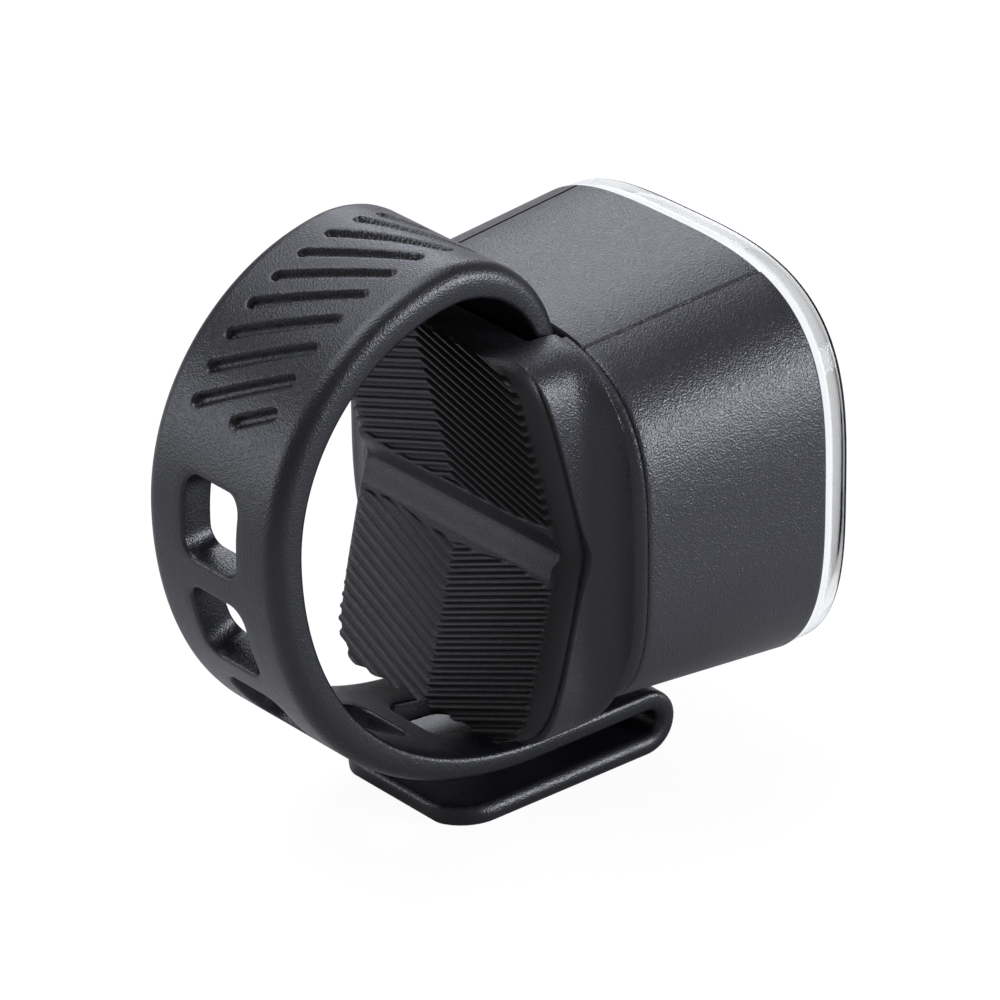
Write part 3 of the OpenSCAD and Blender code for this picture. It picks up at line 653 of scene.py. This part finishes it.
bracket = {"lipGrow": (0.05, 0.02), "frameHalf": (13.0, 16.35), "squareness": 4.0, "frameDrop": 0.35,
           "coveRadius": 2.6, "coveInset": 0.5, "lipBack": 0.85, "taper": 0.0125, "ridge": 0.15,
           "leanTop": 14.5, "leanBottom": 13.5, "padThickness": 1.85, "columns": 480, "notchHalf": 8.1,
           "notchLow": 9.45, "notchBack": 0.18, "notchRound": 0.35, "pinGap": 0.35, "pinSlot": 0.85,
           "screwHead": 1.9, "headDepth": 1.2, "headGap": 0.2, "screwHole": 1.15}
lipSteps = ((0.02, 0.9, 0.6), (0, 0.3, 0.12), (0.08, 0.1, 0.03),  # way back, less width, less height
            (0.25, 0, 0), (0.42, 0.05, 0), (0.6, 0.2, 0), (0.75, 0.38, 0))


def saddleY(z, back):  # V-shaped seat seen from the side
    top, bottom = [math.tan(math.radians(bracket[k])) for k in ("leanTop", "leanBottom")]
    return back - np.where(z > 0, top, bottom) * np.abs(z)


def bracketProfile():  # stations of y, half width, half height, squareness from the lip to the far back
    frameWidth, frameHeight = bracket["frameHalf"]
    lipWidth, lipHeight = rearHalf[0] + bracket["lipGrow"][0], rearHalf[1] + bracket["lipGrow"][1]
    p, square, radius = lampBody["power"], bracket["squareness"], bracket["coveRadius"]
    lip = [(rearY - back, lipWidth - lessWidth, lipHeight - lessHeight, p)
           for back, lessWidth, lessHeight in lipSteps]
    coveY = rearY - bracket["lipBack"]
    coveWidth = lipWidth - bracket["coveInset"]
    cove = []
    for a in np.radians(np.linspace(4, 90, 20)):
        cove.append((coveY - radius * (1 - math.cos(a)), coveWidth + (frameWidth - coveWidth) * math.sin(a),
                     lipHeight + (frameHeight - lipHeight) * math.sin(a), p + square * math.sin(a)))
    back = [(coveY - radius - d, frameWidth - bracket["taper"] * d, frameHeight, p + square)
            for d in (0.5, 1, 2, 4, 6, 9)]
    return np.array(lip), np.array(cove + back)


def bracketPoint(angle, station):  # point of the bracket's outside at an angle and a station
    y, w, h, p = station[..., 0], station[..., 1], station[..., 2], station[..., 3]
    x, z = powerPoint(angle, w, h, p)
    drop = bracket["frameDrop"] * (p - lampBody["power"]) / bracket["squareness"]
    return np.stack([x, y, z + axisZ - drop], -1)


def evenAngles(count):  # angles that space the frame's outline evenly
    power = lampBody["power"] + bracket["squareness"]
    length = runningLength(*powerPoint(denseTurn, *bracket["frameHalf"], power))
    return np.interp(np.linspace(0, length[-1], count, endpoint=False), length, denseTurn)


def makeBracketForm():
    lip, tail = bracketProfile()
    angles = evenAngles(bracket["columns"])
    count = len(angles)
    rings = [bracketPoint(angles, np.repeat(s[None, :], count, 0)) for s in lip]
    dense = np.linspace(0, len(tail) - 1, 400)
    table = np.stack([np.interp(dense, np.arange(len(tail)), tail[:, k]) for k in range(4)], 1)
    reach = runningLength(table[:, 0], table[:, 1])

    def stationAt(length):
        return np.stack([np.interp(length, reach, table[:, k]) for k in range(4)], -1)

    # each column runs along the cove and the frame until it meets the V-shaped seat
    ends = np.full(count, reach[-1])
    for i, a in enumerate(angles):
        points = bracketPoint(np.full(len(table), a), table)
        past = points[:, 1] - saddleY(points[:, 2], bracket["padThickness"] + bracket["ridge"])
        if past.min() < 0:
            ends[i] = np.interp(0, -past, reach)
    for share in np.linspace(0, 1, 34):
        rings.append(bracketPoint(angles, stationAt(ends * share)))
    edge = rings[-1]
    middle = np.array([0, 0, axisZ])
    outward = edge[:, [0, 2]] - middle[[0, 2]]
    outward /= np.linalg.norm(outward, axis=1)[:, None]
    for a in np.radians((30, 60, 90)):  # rounded ridge around the seat
        ring = edge.copy()
        ring[:, [0, 2]] -= outward * bracket["ridge"] * (1 - math.cos(a))
        ring[:, 1] = edge[:, 1] - bracket["ridge"] * math.sin(a)
        rings.append(ring)
    rim = rings[-1]
    for share in (0.93, 0.8, 0.6, 0.4, 0.2, 0.05):
        ring = middle + (rim - middle) * share
        ring[:, 1] = saddleY(ring[:, 2], bracket["padThickness"])
        rings.append(ring)
    return loftPiece("mountBracket", rings)


strapHook = {"drop": 0.48, "half": 2.3, "stemBack": 0.65, "stemFront": 1.05, "noseFront": 2.35,
             "noseHeight": 0.9, "footRise": 3.4, "footBack": 2.0, "footTop": 14.6, "lap": 0.3,
             "stemEdge": 0.25, "noseEdge": 0.3, "footEdge": 0.2}


def makeHook():  # foot under the frame, stem through the strap's slot, nose in front
    half, lap = strapHook["half"], strapHook["lap"]
    low = bracketLow[2] - strapHook["drop"]
    footZ = low + strapHook["footRise"]
    stemY0, stemY1 = rearY - strapHook["stemBack"], rearY + strapHook["stemFront"]
    noseY, noseZ = rearY + strapHook["noseFront"], low + strapHook["noseHeight"]
    footY, footTop = rearY - strapHook["footBack"], axisZ - strapHook["footTop"]
    hook = blockPiece("hook", (-half, stemY0, low), (half, stemY1, footZ + lap), strapHook["stemEdge"])
    nose = blockPiece("nose", (-half, stemY0, low), (half, noseY, noseZ), strapHook["noseEdge"])
    carve(hook, nose, "UNION")
    foot = blockPiece("foot", (-half, footY, footZ), (half, rearY, footTop), strapHook["footEdge"])
    return carve(hook, foot, "UNION")


def makeBracket():
    form = makeBracketForm()
    carve(form, makeHook(), "UNION")
    notchHalf = bracket["notchHalf"]
    carve(form, blockPiece("notch", (-notchHalf, bracket["notchBack"], bracket["notchLow"]),
                           (notchHalf, rearY + 3, axisZ + 22), bracket["notchRound"]))
    pinLow, pinHigh = nodeBox("strap_pin")
    pinY, pinZ = (pinLow[1] + pinHigh[1]) / 2, (pinLow[2] + pinHigh[2]) / 2
    gap, slot = bracket["pinGap"], bracket["pinSlot"]
    carve(form, blockPiece("pinSlot", (pinLow[0] - gap, pinY - slot, pinZ - slot),
                           (pinHigh[0] + gap, rearY + 1, pinZ + slot)))
    screwLow, screwHigh = nodeBox("bracket_screws")
    head = bracket["screwHead"]
    seatY = screwLow[1] + bracket["headDepth"]
    for x in (screwLow[0] + head, screwHigh[0] - head):
        for z in (screwLow[2] + head, screwHigh[2] - head):
            carve(form, rodPiece("headSeat", (x, -8, z), (x, seatY, z), head + bracket["headGap"], 28))
            carve(form, rodPiece("screwHole", (x, -8, z), (x, rearY + 1, z), bracket["screwHole"], 24))
    return cleanMesh(form, 32)


dress(makeBracket(), shellPlastic, "lamp", ["mount_bracket"])
print("bracket made")

# Saddle pad: chevron ribs, smooth valley, rounded shoulder out to the bracket's frame

gripPad = {"half": (11.2, 16.3), "corner": 3.6, "seatHalf": (12.55, 16.4), "seatPower": 7.0, "seatLap": 0.02,
           "rows": 460, "columns": 150, "ribPitch": 0.94, "ribSlope": 20.3, "ribDepth": 0.42,
           "ribShare": 0.55, "ribSoft": 0.22, "ribEnd": (0.15, 0.2), "valleyHalf": 2.0, "valleyDepth": 0.5,
           "valleyCurve": 1.5, "sideFlare": 0.5, "sideFrom": 6, "sideTo": 11, "lowFlare": 0.7, "lowFrom": 9,
           "lowTo": 2}


def padFace(x, z):  # height of the rubber face towards the bar, as y
    reach, height, upper = np.abs(x), np.abs(z), z > 0
    slope = math.tan(math.radians(gripPad["ribSlope"]))
    along = np.where(upper, z + reach * slope, z - reach * slope)
    phase = np.abs((along / gripPad["ribPitch"]) % 1.0 - 0.5) * 2
    gap, soft, valley = 1 - gripPad["ribShare"], gripPad["ribSoft"], gripPad["valleyHalf"]
    groove = smoothStep(gap - soft, gap + soft, 1 - phase)
    flare = gripPad["sideFlare"] * smoothStep(gripPad["sideFrom"], gripPad["sideTo"], reach)
    lowFlare = gripPad["lowFlare"] * smoothStep(-gripPad["lowFrom"], -gripPad["lowTo"], -reach)
    flare = flare + np.where(upper, 0, lowFlare)
    before, after = gripPad["ribEnd"]
    ribbed = smoothStep(valley - before + flare, valley + after + flare, height)
    curve = np.cos(np.clip(height / valley, 0, 1) * np.pi / 2) ** gripPad["valleyCurve"]
    hollow = gripPad["valleyDepth"] * curve
    return saddleY(z, 0.0) + hollow + gripPad["ribDepth"] * groove * ribbed


def makePad():
    rows, columns, corner = gripPad["rows"], gripPad["columns"], gripPad["corner"]
    halfWidth, halfHeight = gripPad["half"]
    z = np.linspace(-halfHeight, halfHeight, rows)
    past = np.clip(np.abs(z) - (halfHeight - corner), 0, corner)
    width = halfWidth - corner + np.sqrt(corner ** 2 - past ** 2)
    xx = np.linspace(-1, 1, columns)[None, :] * width[:, None]
    zz = np.repeat(z[:, None], columns, 1) + axisZ
    face = np.stack([xx, padFace(xx, zz), zz], 2).reshape(-1, 3)
    faces = gridFaces(0, rows, columns)
    border = gridBorder(rows, columns)
    face[border, 1] = saddleY(face[border, 2], 0.0) + gripPad["ribDepth"]  # ribs end on a plain rim
    rim = face[border]
    rimX, rimZ = rim[:, 0], rim[:, 2] - axisZ
    seatWidth, seatHeight = gripPad["seatHalf"]
    p = gripPad["seatPower"]
    scale = (np.abs(rimX / seatWidth) ** p + np.abs(rimZ / seatHeight) ** p) ** (-1 / p)
    foot = np.stack([rimX * scale, rim[:, 1], rimZ * scale + axisZ], 1)
    foot[:, 1] = saddleY(foot[:, 2], bracket["padThickness"] - gripPad["seatLap"])
    points, last, total = [face], border, len(face)
    for a in np.linspace(0, math.pi / 2, 9)[1:]:  # rounded shoulder
        ring = rim.copy()
        ring[:, [0, 2]] += (foot - rim)[:, [0, 2]] * math.sin(a) ** 1.1
        ring[:, 1] += (foot - rim)[:, 1] * (1 - math.cos(a)) ** 0.85
        points.append(ring)
        numbers = list(range(total, total + len(border)))
        faces += ringFaces(last, numbers)
        last = numbers
        total += len(border)
    # back face, laid row by row on the seat
    lowRight, highRight = columns - 1, columns + rows - 2
    highLeft = highRight + columns - 1
    right = last[lowRight:highRight + 1]
    left = [last[0]] + last[:highLeft:-1] + [last[highLeft]]
    faces += [(left[k], right[k], right[k + 1], left[k + 1]) for k in range(rows - 1)]
    faces.append(tuple(last[:columns]))
    faces.append(tuple(last[highRight:highLeft + 1]))
    return cleanMesh(newPiece("gripPad", np.concatenate(points), faces), 60)


dress(makePad(), padRubber, "lamp", ["grip_pad"])
print("pad made")

# Strap: one swept band with grip grooves, slots and a folded pull tail

strap = {"halfWidth": 7.75, "thickness": 2.8, "root": 2.0, "run": 1.8, "tail": 1.6, "bendRadius": 7.6,
         "bendAngle": 98, "overRadius": 16.3, "underRadius": 22.6, "turnRadius": 2.7, "turnReach": 0.35,
         "boxGap": 0.02, "tailLength": 19.3, "swell": 0.021, "tailCorner": 3.8, "tipRound": 0.5,
         "thinFrom": 203, "thinTo": 275, "legLow": 9.9, "edgeRound": 1.4, "innerRound": 0.4, "across": 97,
         "plainStep": 0.45, "slotStep": 0.42}
strapSlots = {"size": 6.25, "corner": 1.4, "pitch": 8.72, "count": 5, "outerRound": 0.3, "innerRound": 0.25,
              "hookY": 6.25, "blockHalf": 3.86}
gripGrooves = {"width": 0.95, "depth": 0.6, "slant": 30, "firstAngle": 144.5, "pitch": 8.3, "count": 8,
               "half": 4.5, "short": ((152.8, 0.8, 4.5), (79.5, -4.5, -1.4)), "from": -4.5, "to": 24.5,
               "step": 0.14}
rootLow = nodeBox("strap_root")[0]
tailLow, tailHigh = nodeBox("strap_tail")


def strapPath():  # rows of y, z, outward y and z, thickness, length over the top, all on the inner face
    over, under, bend, turn = [strap[k + "Radius"] for k in ("over", "under", "bend", "turn")]
    t, root, run, tail, bendAngle = [strap[k] for k in ("thickness", "root", "run", "tail", "bendAngle")]
    meet = math.radians(bendAngle)
    runZ = tailLow[2] + strap["boxGap"] + 2 * turn
    arcZ = runZ + under
    overY = rootLow[1] + strap["boxGap"] + over + t
    bendY = overY + (over - bend) * math.cos(meet)
    bendZ = arcZ + (over - bend) * math.sin(meet)
    underY = overY - over + under
    turnY = tailHigh[1] + strap["turnReach"] - turn
    legY, tailZ = bendY + bend, runZ - 2 * turn
    rows = []

    def straight(y0, z0, y1, z1, normal, thick, overTop):
        length = math.hypot(y1 - y0, z1 - z0)
        ny, nz = math.cos(math.radians(normal)), math.sin(math.radians(normal))
        for s in np.linspace(0, 1, max(3, int(length / 0.05))):
            rows.append((y0 + (y1 - y0) * s, z0 + (z1 - z0) * s, ny, nz, thick, overTop))

    def arc(cy, cz, r, a0, a1, thick, overTop, side=1, swell=0.0):
        for degrees in np.linspace(a0, a1, max(3, int(abs(a1 - a0) * r / 2.8))):
            a = math.radians(degrees)
            q = r * (1 + swell * math.sin(2 * a) ** 2)
            rows.append((cy + q * math.cos(a), cz + q * math.sin(a), side * math.cos(a), side * math.sin(a),
                         thick(degrees), overTop(degrees)))

    def bendThickness(a):
        return root + (t - root) * smoothStep(0, bendAngle, a)

    def underThickness(a):
        return t + (run - t) * smoothStep(strap["thinFrom"], strap["thinTo"], a)

    def turnThickness(a):
        return run + (tail - run) * (90 - a) / 180

    def overBend(a):
        return math.radians(bendAngle - 90) * (over + t) + math.radians(a - bendAngle) * (bend + t)

    def overArc(a):
        return math.radians(a - 90) * (over + t)

    straight(legY, strap["legLow"], legY, bendZ, 0, root, -90)
    arc(bendY, bendZ, bend, 0, bendAngle, bendThickness, overBend)
    arc(overY, arcZ, over, bendAngle, 180, lambda a: t, overArc)
    arc(underY, arcZ, under, 180, 270, underThickness, lambda a: 90, swell=strap["swell"])
    straight(underY, runZ, turnY, runZ, 270, run, 90)
    arc(turnY, runZ - turn, turn, 90, -90, turnThickness, lambda a: 90, side=-1)
    straight(turnY, tailZ, turnY - strap["tailLength"], tailZ, 90, tail, 90)
    table = np.array(rows)
    step = np.hypot(np.diff(table[:, 0]), np.diff(table[:, 1]))
    table = table[np.concatenate([[True], step > 1e-6])]
    length = runningLength(table[:, 0], table[:, 1])
    runStart = length[np.argmin(np.hypot(table[:, 0] - underY, table[:, 1] - runZ))]
    return length, table, runStart, underY


pathLength, pathTable, runStart, runStartY = strapPath()


def onStrap(s, x, depth):  # point above the strap's inner face
    y, z, ny, nz = [np.interp(s, pathLength, pathTable[:, k]) for k in range(4)]
    size = np.hypot(ny, nz)
    return np.stack([np.broadcast_to(x, np.shape(y)), y + ny / size * depth, z + nz / size * depth], -1)


def strapThickness(s):
    return np.interp(s, pathLength, pathTable[:, 4])


def slotCentres():  # length of each slot's middle along the inner face and its squeeze, hook slot last
    share = strap["underRadius"] / (strap["underRadius"] + strap["thickness"] / 2)
    hookAlong = strapSlots["hookY"] - runStartY
    centres = []
    for k in range(strapSlots["count"], 0, -1):
        centres.append((runStart - (k * strapSlots["pitch"] - hookAlong) * share, share))
    return centres + [(runStart + hookAlong, 1.0)]


def grooveDepth(over, x):  # depth of the slanted grip grooves at a length over the top
    slant = math.radians(gripGrooves["slant"])
    radius = strap["overRadius"] + strap["thickness"]
    half, reach = gripGrooves["width"] / 2, gripGrooves["half"]
    ladder = [(gripGrooves["firstAngle"] - gripGrooves["pitch"] * i, -reach, reach)
              for i in range(gripGrooves["count"])]
    depth = np.zeros(np.broadcast(over, x).shape)
    for angle, x0, x1 in ladder + list(gripGrooves["short"]):
        v = over - math.radians(angle - 90) * radius
        lx = x * math.cos(slant) - v * math.sin(slant)
        ly = x * math.sin(slant) + v * math.cos(slant)
        past = np.maximum(np.abs(lx - (x0 + x1) / 2) - (x1 - x0) / 2, 0)
        away = np.hypot(past, ly)
        depth = np.maximum(depth, gripGrooves["depth"] * (1 - smoothStep(half * 0.45, half * 1.15, away)))
    return depth


def strapStations(blocks):  # lengths at which the strap has a row of points
    end = pathLength[-1]
    first, last = [np.interp(gripGrooves[k], pathTable[:, 5], pathLength) for k in ("from", "to")]
    stations = list(np.arange(0, first, strap["plainStep"]))
    stations += list(np.arange(first, last, gripGrooves["step"]))
    edges = [last] + [e for b in blocks for e in b[:2]] + [end]
    for a, b in zip(edges[:-1], edges[1:]):
        stations += list(np.linspace(a, b, max(2, int((b - a) / strap["slotStep"]) + 1))[:-1])
    stations += list(end - np.array([0.5, 0.36, 0.22, 0.1, 0.03, 0]))
    return np.array(sorted(set(np.round(stations, 6))))


def makeStrap():
    nx, corner, blockHalf = strap["across"], strap["tailCorner"], strapSlots["blockHalf"]
    blocks = [(c - blockHalf, c + blockHalf, c, share) for c, share in slotCentres()]
    s = strapStations(blocks)
    t = strapThickness(s)
    tip = np.maximum(pathLength[-1] - s, 0)
    half = strap["halfWidth"] - roundDrop(tip, corner)
    ease = roundDrop(tip, strap["tipRound"])
    outerRound = np.minimum(strap["edgeRound"], 0.5 * (t - 2 * ease))
    innerRound = np.minimum(strap["innerRound"], 0.3 * (t - 2 * ease))
    flat = np.linspace(-1, 1, nx)
    over = np.interp(s, pathLength, pathTable[:, 5])
    outerHalf, innerHalf = half - outerRound, half - innerRound
    columns = []

    def column(x, depth):
        columns.append(onStrap(s, x, depth))

    def outerEdge(side, degrees):
        for a in np.radians(degrees):
            depth = t - ease - outerRound + outerRound * math.sin(a)
            column(side * outerHalf + outerRound * math.cos(a), depth)

    def innerEdge(side, degrees):
        for a in np.radians(degrees):
            column(side * innerHalf + innerRound * math.cos(a), ease + innerRound + innerRound * math.sin(a))

    for f in flat:
        column(f * outerHalf, t - ease - grooveDepth(over, f * outerHalf))
    outerEdge(1, (75, 60, 45, 30, 15, 0))
    innerEdge(1, (0, -30, -60))
    innerFirst = len(columns)
    for f in flat[::-1]:
        column(f * innerHalf, ease)
    innerEdge(-1, (-120, -150, -180))
    outerEdge(-1, (180, 165, 150, 135, 120, 105))
    grid = np.stack(columns, 1)
    rows, count = grid.shape[:2]
    points = [grid.reshape(-1, 3)]
    total = rows * count
    inBlock = np.zeros(rows - 1, bool)
    spans = []
    for b0, b1, centre, share in blocks:
        ja, jb = int(np.argmin(np.abs(s - b0))), int(np.argmin(np.abs(s - b1)))
        inBlock[ja:jb] = True
        spans.append((ja, jb, centre, share))
    faces = []
    for j in range(rows - 1):
        for i in range(count):
            isFlat = i < nx - 1 or innerFirst <= i < innerFirst + nx - 1
            if inBlock[j] and isFlat:
                continue
            k = (i + 1) % count
            faces.append((j * count + i, j * count + k, (j + 1) * count + k, (j + 1) * count + i))
    faces.append(tuple(range(count)))
    faces.append(tuple(range((rows - 1) * count, rows * count)))

    # rounded slot in each block: rings from the outer face through the slot to the inner face
    for ja, jb, centre, share in spans:
        border = [(ja, i) for i in range(nx)] + [(j, nx - 1) for j in range(ja + 1, jb + 1)]
        border += [(jb, i) for i in range(nx - 2, -1, -1)] + [(j, 0) for j in range(jb - 1, ja, -1)]
        js, cols = np.array([b[0] for b in border]), np.array([b[1] for b in border])
        ds, span = s[js] - centre, (s[jb] - s[ja]) / 2
        outerX, innerX = flat[cols] * outerHalf[js], flat[cols] * innerHalf[js]
        thick = strapThickness(centre)

        def slotLoop(grow):
            h, r = strapSlots["size"] / 2 + grow, strapSlots["corner"] + grow
            u, v = ds / span * h, flat[cols] * h
            du, dv = np.abs(u) - (h - r), np.abs(v) - (h - r)
            atCorner = (du > 0) & (dv > 0)
            size = np.where(atCorner, np.hypot(du, dv), 1)
            u = np.where(atCorner, np.sign(u) * (h - r + du / size * r), u)
            v = np.where(atCorner, np.sign(v) * (h - r + dv / size * r), v)
            return u * share, v

        outer, inner = strapSlots["outerRound"], strapSlots["innerRound"]
        loops = []
        u, v = slotLoop(outer)
        for f in (0.35, 0.7):
            loops.append((ds + (u - ds) * f, outerX + (v - outerX) * f, 0))
        for a in np.radians((0, 30, 60, 90)):
            loops.append((*slotLoop(outer * (1 - math.sin(a))), outer * (1 - math.cos(a))))
        loops.append((*slotLoop(0), thick / 2))
        for a in np.radians((90, 60, 30, 0)):
            loops.append((*slotLoop(inner * (1 - math.sin(a))), thick - inner * (1 - math.cos(a))))
        u, v = slotLoop(inner)
        for f in (0.7, 0.35):
            loops.append((ds + (u - ds) * f, innerX + (v - innerX) * f, thick))
        last = [j * count + i for j, i in border]
        for u, v, sunk in loops:
            ring = onStrap(centre + u, v, strapThickness(centre + u) * (1 - sunk / thick))
            points.append(ring)
            numbers = list(range(total, total + len(ring)))
            faces += ringFaces(last, numbers)
            last = numbers
            total += len(ring)
        faces += ringFaces(last, [j * count + innerFirst + nx - 1 - i for j, i in border])
    return cleanMesh(newPiece("stretchStrap", np.concatenate(points), faces), 45)


band = makeStrap()
dress(band, strapRubber, None, ["strap_root", "strap_tail"])
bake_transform(band)
print("strap made,", len(band.data.polygons), "faces")

# Finishes of the CAD nodes that show as they are

def grainLook(shade, light, grain, depth, rough):
    return {"shade": shade, "light": light, "grain": grain, "depth": depth, "rough": rough}


def blackLook(depth, rough):  # moulded black of chips and sockets
    return grainLook((0.012, 0.012, 0.013), (0.02, 0.02, 0.022), 4000, depth, rough)


def metalLook(shade, light, rough, **more):
    return {"shade": shade, "light": light, "rough": rough, **more}


def steelLook(rough, **more):
    return metalLook((0.55, 0.56, 0.58), (0.68, 0.69, 0.71), rough, **more)


sealLook = grainLook((0.05, 0.05, 0.055), (0.08, 0.08, 0.085), 3000, 0.2, 0.6)
grainedNodes = {
    "lens_gasket": sealLook,
    "button_seal": sealLook,
    "led_board": grainLook((0.78, 0.78, 0.74), (0.86, 0.86, 0.83), 2500, 0.05, 0.4),
    "led_packages": grainLook((0.86, 0.86, 0.8), (0.93, 0.93, 0.88), 2500, 0.05, 0.35),
    "led_phosphors": grainLook((0.85, 0.62, 0.06), (0.95, 0.76, 0.1), 6000, 0.2, 0.5),
    "main_board": grainLook((0.02, 0.11, 0.05), (0.03, 0.16, 0.08), 1500, 0.1, 0.35),
    "board_chips": blackLook(0.2, 0.5),
    "board_header": blackLook(0.2, 0.45),
    "battery_foam": grainLook((0.03, 0.03, 0.033), (0.06, 0.06, 0.065), 1800, 0.9, 0.9),
    "battery_leads": grainLook((0.4, 0.015, 0.01), (0.5, 0.03, 0.02), 3000, 0.05, 0.35),
    "usb_tongue": blackLook(0.1, 0.4),
    "tact_switch": blackLook(0.1, 0.45),
    "switch_plunger": grainLook((0.7, 0.7, 0.66), (0.8, 0.8, 0.76), 3000, 0.1, 0.45),
}
metalNodes = {
    "reflector_bezel": metalLook((0.72, 0.73, 0.76), (0.82, 0.83, 0.85), 0.12, depth=0.03),
    "heat_spreader": metalLook((0.6, 0.61, 0.63), (0.72, 0.73, 0.75), 0.3),
    "header_pins": metalLook((0.75, 0.55, 0.2), (0.85, 0.66, 0.3), 0.22),
    "battery_cell": metalLook((0.42, 0.44, 0.48), (0.55, 0.57, 0.6), 0.35, scale=400),
    "usb_socket": metalLook((0.58, 0.59, 0.61), (0.7, 0.71, 0.73), 0.25, stretch=(1, 12, 12)),
    "bracket_screws": steelLook(0.28),
    "strap_pin": steelLook(0.22, stretch=(1, 12, 12)),
}
for looks, makeFinish in ((grainedNodes, grainedMaterial), (metalNodes, metalMaterial)):
    for nodeName, look in looks.items():
        setFinish(frame["nodes"][nodeName], makeFinish(nodeName + "Finish", look))
setFinish(frame["nodes"]["collimator_optic"], clearOpticPlastic)
print("CAD nodes dressed:", len(grainedNodes) + len(metalNodes) + 1)

# Floor, light and camera, in m

studio = {"floorSize": 6.0, "floorGap": 0.05, "floorShade": (0.5, 0.5, 0.5, 1), "floorWhite": 1.1,
          "whiteShare": 0.86, "worldLevel": 0.25, "glossShare": 0.08, "lampColor": (0.88, 0.9, 1.0)}
softboxes = {  # place, size and power
    "overheadBox": ((-0.16, -0.06, 0.5), (0.45, 0.4), 3.2),
    "rightBox": ((0.58, 0.42, 0.14), (0.32, 0.2), 6.0),
    "frontBox": ((-0.42, 0.36, 0.3), (0.3, 0.2), 1.2),
    "leftBox": ((-0.45, -0.47, 0.12), (0.3, 0.2), 1.2),
}
view = {"azimuth": 50.1826, "elevation": 26.9423, "roll": -0.6947, "lens": 251.67, "sensor": 36.0,
        "aim": (0.0019917, 0.0024479, 0.0003961), "distance": 0.526907}
pureWhite = (1, 1, 1, 1)


def seenShare(tree):  # full for the camera, straight or through the lens, and weak in reflections
    path = addNode(tree, "ShaderNodeLightPath")
    seen = addMath(tree, "MAXIMUM", path.outputs["Is Camera Ray"], path.outputs["Is Transmission Ray"])
    gloss = addMath(tree, "MULTIPLY", path.outputs["Is Glossy Ray"], studio["glossShare"])
    return addMath(tree, "MAXIMUM", seen, gloss)


def makeFloor():
    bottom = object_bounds()[0][2] / mm - studio["floorGap"]
    half = studio["floorSize"] / 2 / mm
    corners = [(half * x, half * y, bottom) for x, y in ((-1, -1), (1, -1), (1, 1), (-1, 1))]
    floor = newPiece("floor", corners, [(0, 1, 2, 3)])
    material = bpy.data.materials.new("paleFloor")
    material.use_nodes = True
    tree = material.node_tree
    tree.nodes.clear()
    matt = addNode(tree, "ShaderNodeBsdfDiffuse", {"Color": studio["floorShade"]})
    white = addNode(tree, "ShaderNodeEmission", {"Color": pureWhite, "Strength": studio["floorWhite"]})
    share = addMath(tree, "MULTIPLY", seenShare(tree), studio["whiteShare"])
    mix = addNode(tree, "ShaderNodeMixShader", {0: share, 1: matt.outputs[0], 2: white.outputs[0]})
    addNode(tree, "ShaderNodeOutputMaterial", {"Surface": mix.outputs[0]})
    floor.data.materials.append(material)


def makeWorld():
    world = bpy.data.worlds.new("studioWorld")
    bpy.context.scene.world = world
    world.use_nodes = True
    tree = world.node_tree
    tree.nodes.clear()
    dim = addNode(tree, "ShaderNodeBackground", {"Color": pureWhite, "Strength": studio["worldLevel"]})
    white = addNode(tree, "ShaderNodeBackground", {"Color": pureWhite, "Strength": 1.0})
    mix = addNode(tree, "ShaderNodeMixShader", {0: seenShare(tree), 1: dim.outputs[0], 2: white.outputs[0]})
    addNode(tree, "ShaderNodeOutputWorld", {"Surface": mix.outputs[0]})


def makeSoftbox(name, place, size, power):  # area lamp that faces the origin
    lamp = bpy.data.lights.new(name, "AREA")
    lamp.shape = "RECTANGLE"
    lamp.size, lamp.size_y = size
    lamp.energy = power
    lamp.color = studio["lampColor"]
    lampObject = bpy.data.objects.new(name, lamp)
    bpy.context.scene.collection.objects.link(lampObject)
    lampObject.location = place
    lampObject.rotation_euler = (-Vector(place)).to_track_quat("-Z", "Y").to_euler()


def makeCamera():
    data = bpy.data.cameras.new("photoCamera")
    data.lens = view["lens"]
    data.sensor_width = view["sensor"]
    data.clip_start, data.clip_end = 0.01, 50
    camera = bpy.data.objects.new("photoCamera", data)
    bpy.context.scene.collection.objects.link(camera)
    az, el = math.radians(view["azimuth"]), math.radians(view["elevation"])
    back = Vector((math.sin(az) * math.cos(el), -math.cos(az) * math.cos(el), math.sin(el)))
    camera.location = Vector(view["aim"]) + back * view["distance"]
    camera.rotation_mode = "QUATERNION"
    roll = Quaternion((0, 0, 1), math.radians(view["roll"]))
    camera.rotation_quaternion = (-back).to_track_quat("-Z", "Y") @ roll
    bpy.context.scene.camera = camera


makeFloor()
makeWorld()
for boxName, (place, size, power) in softboxes.items():
    makeSoftbox(boxName, place, size, power)
makeCamera()
bpy.context.scene.view_settings.view_transform = "Standard"
print("studio ready")
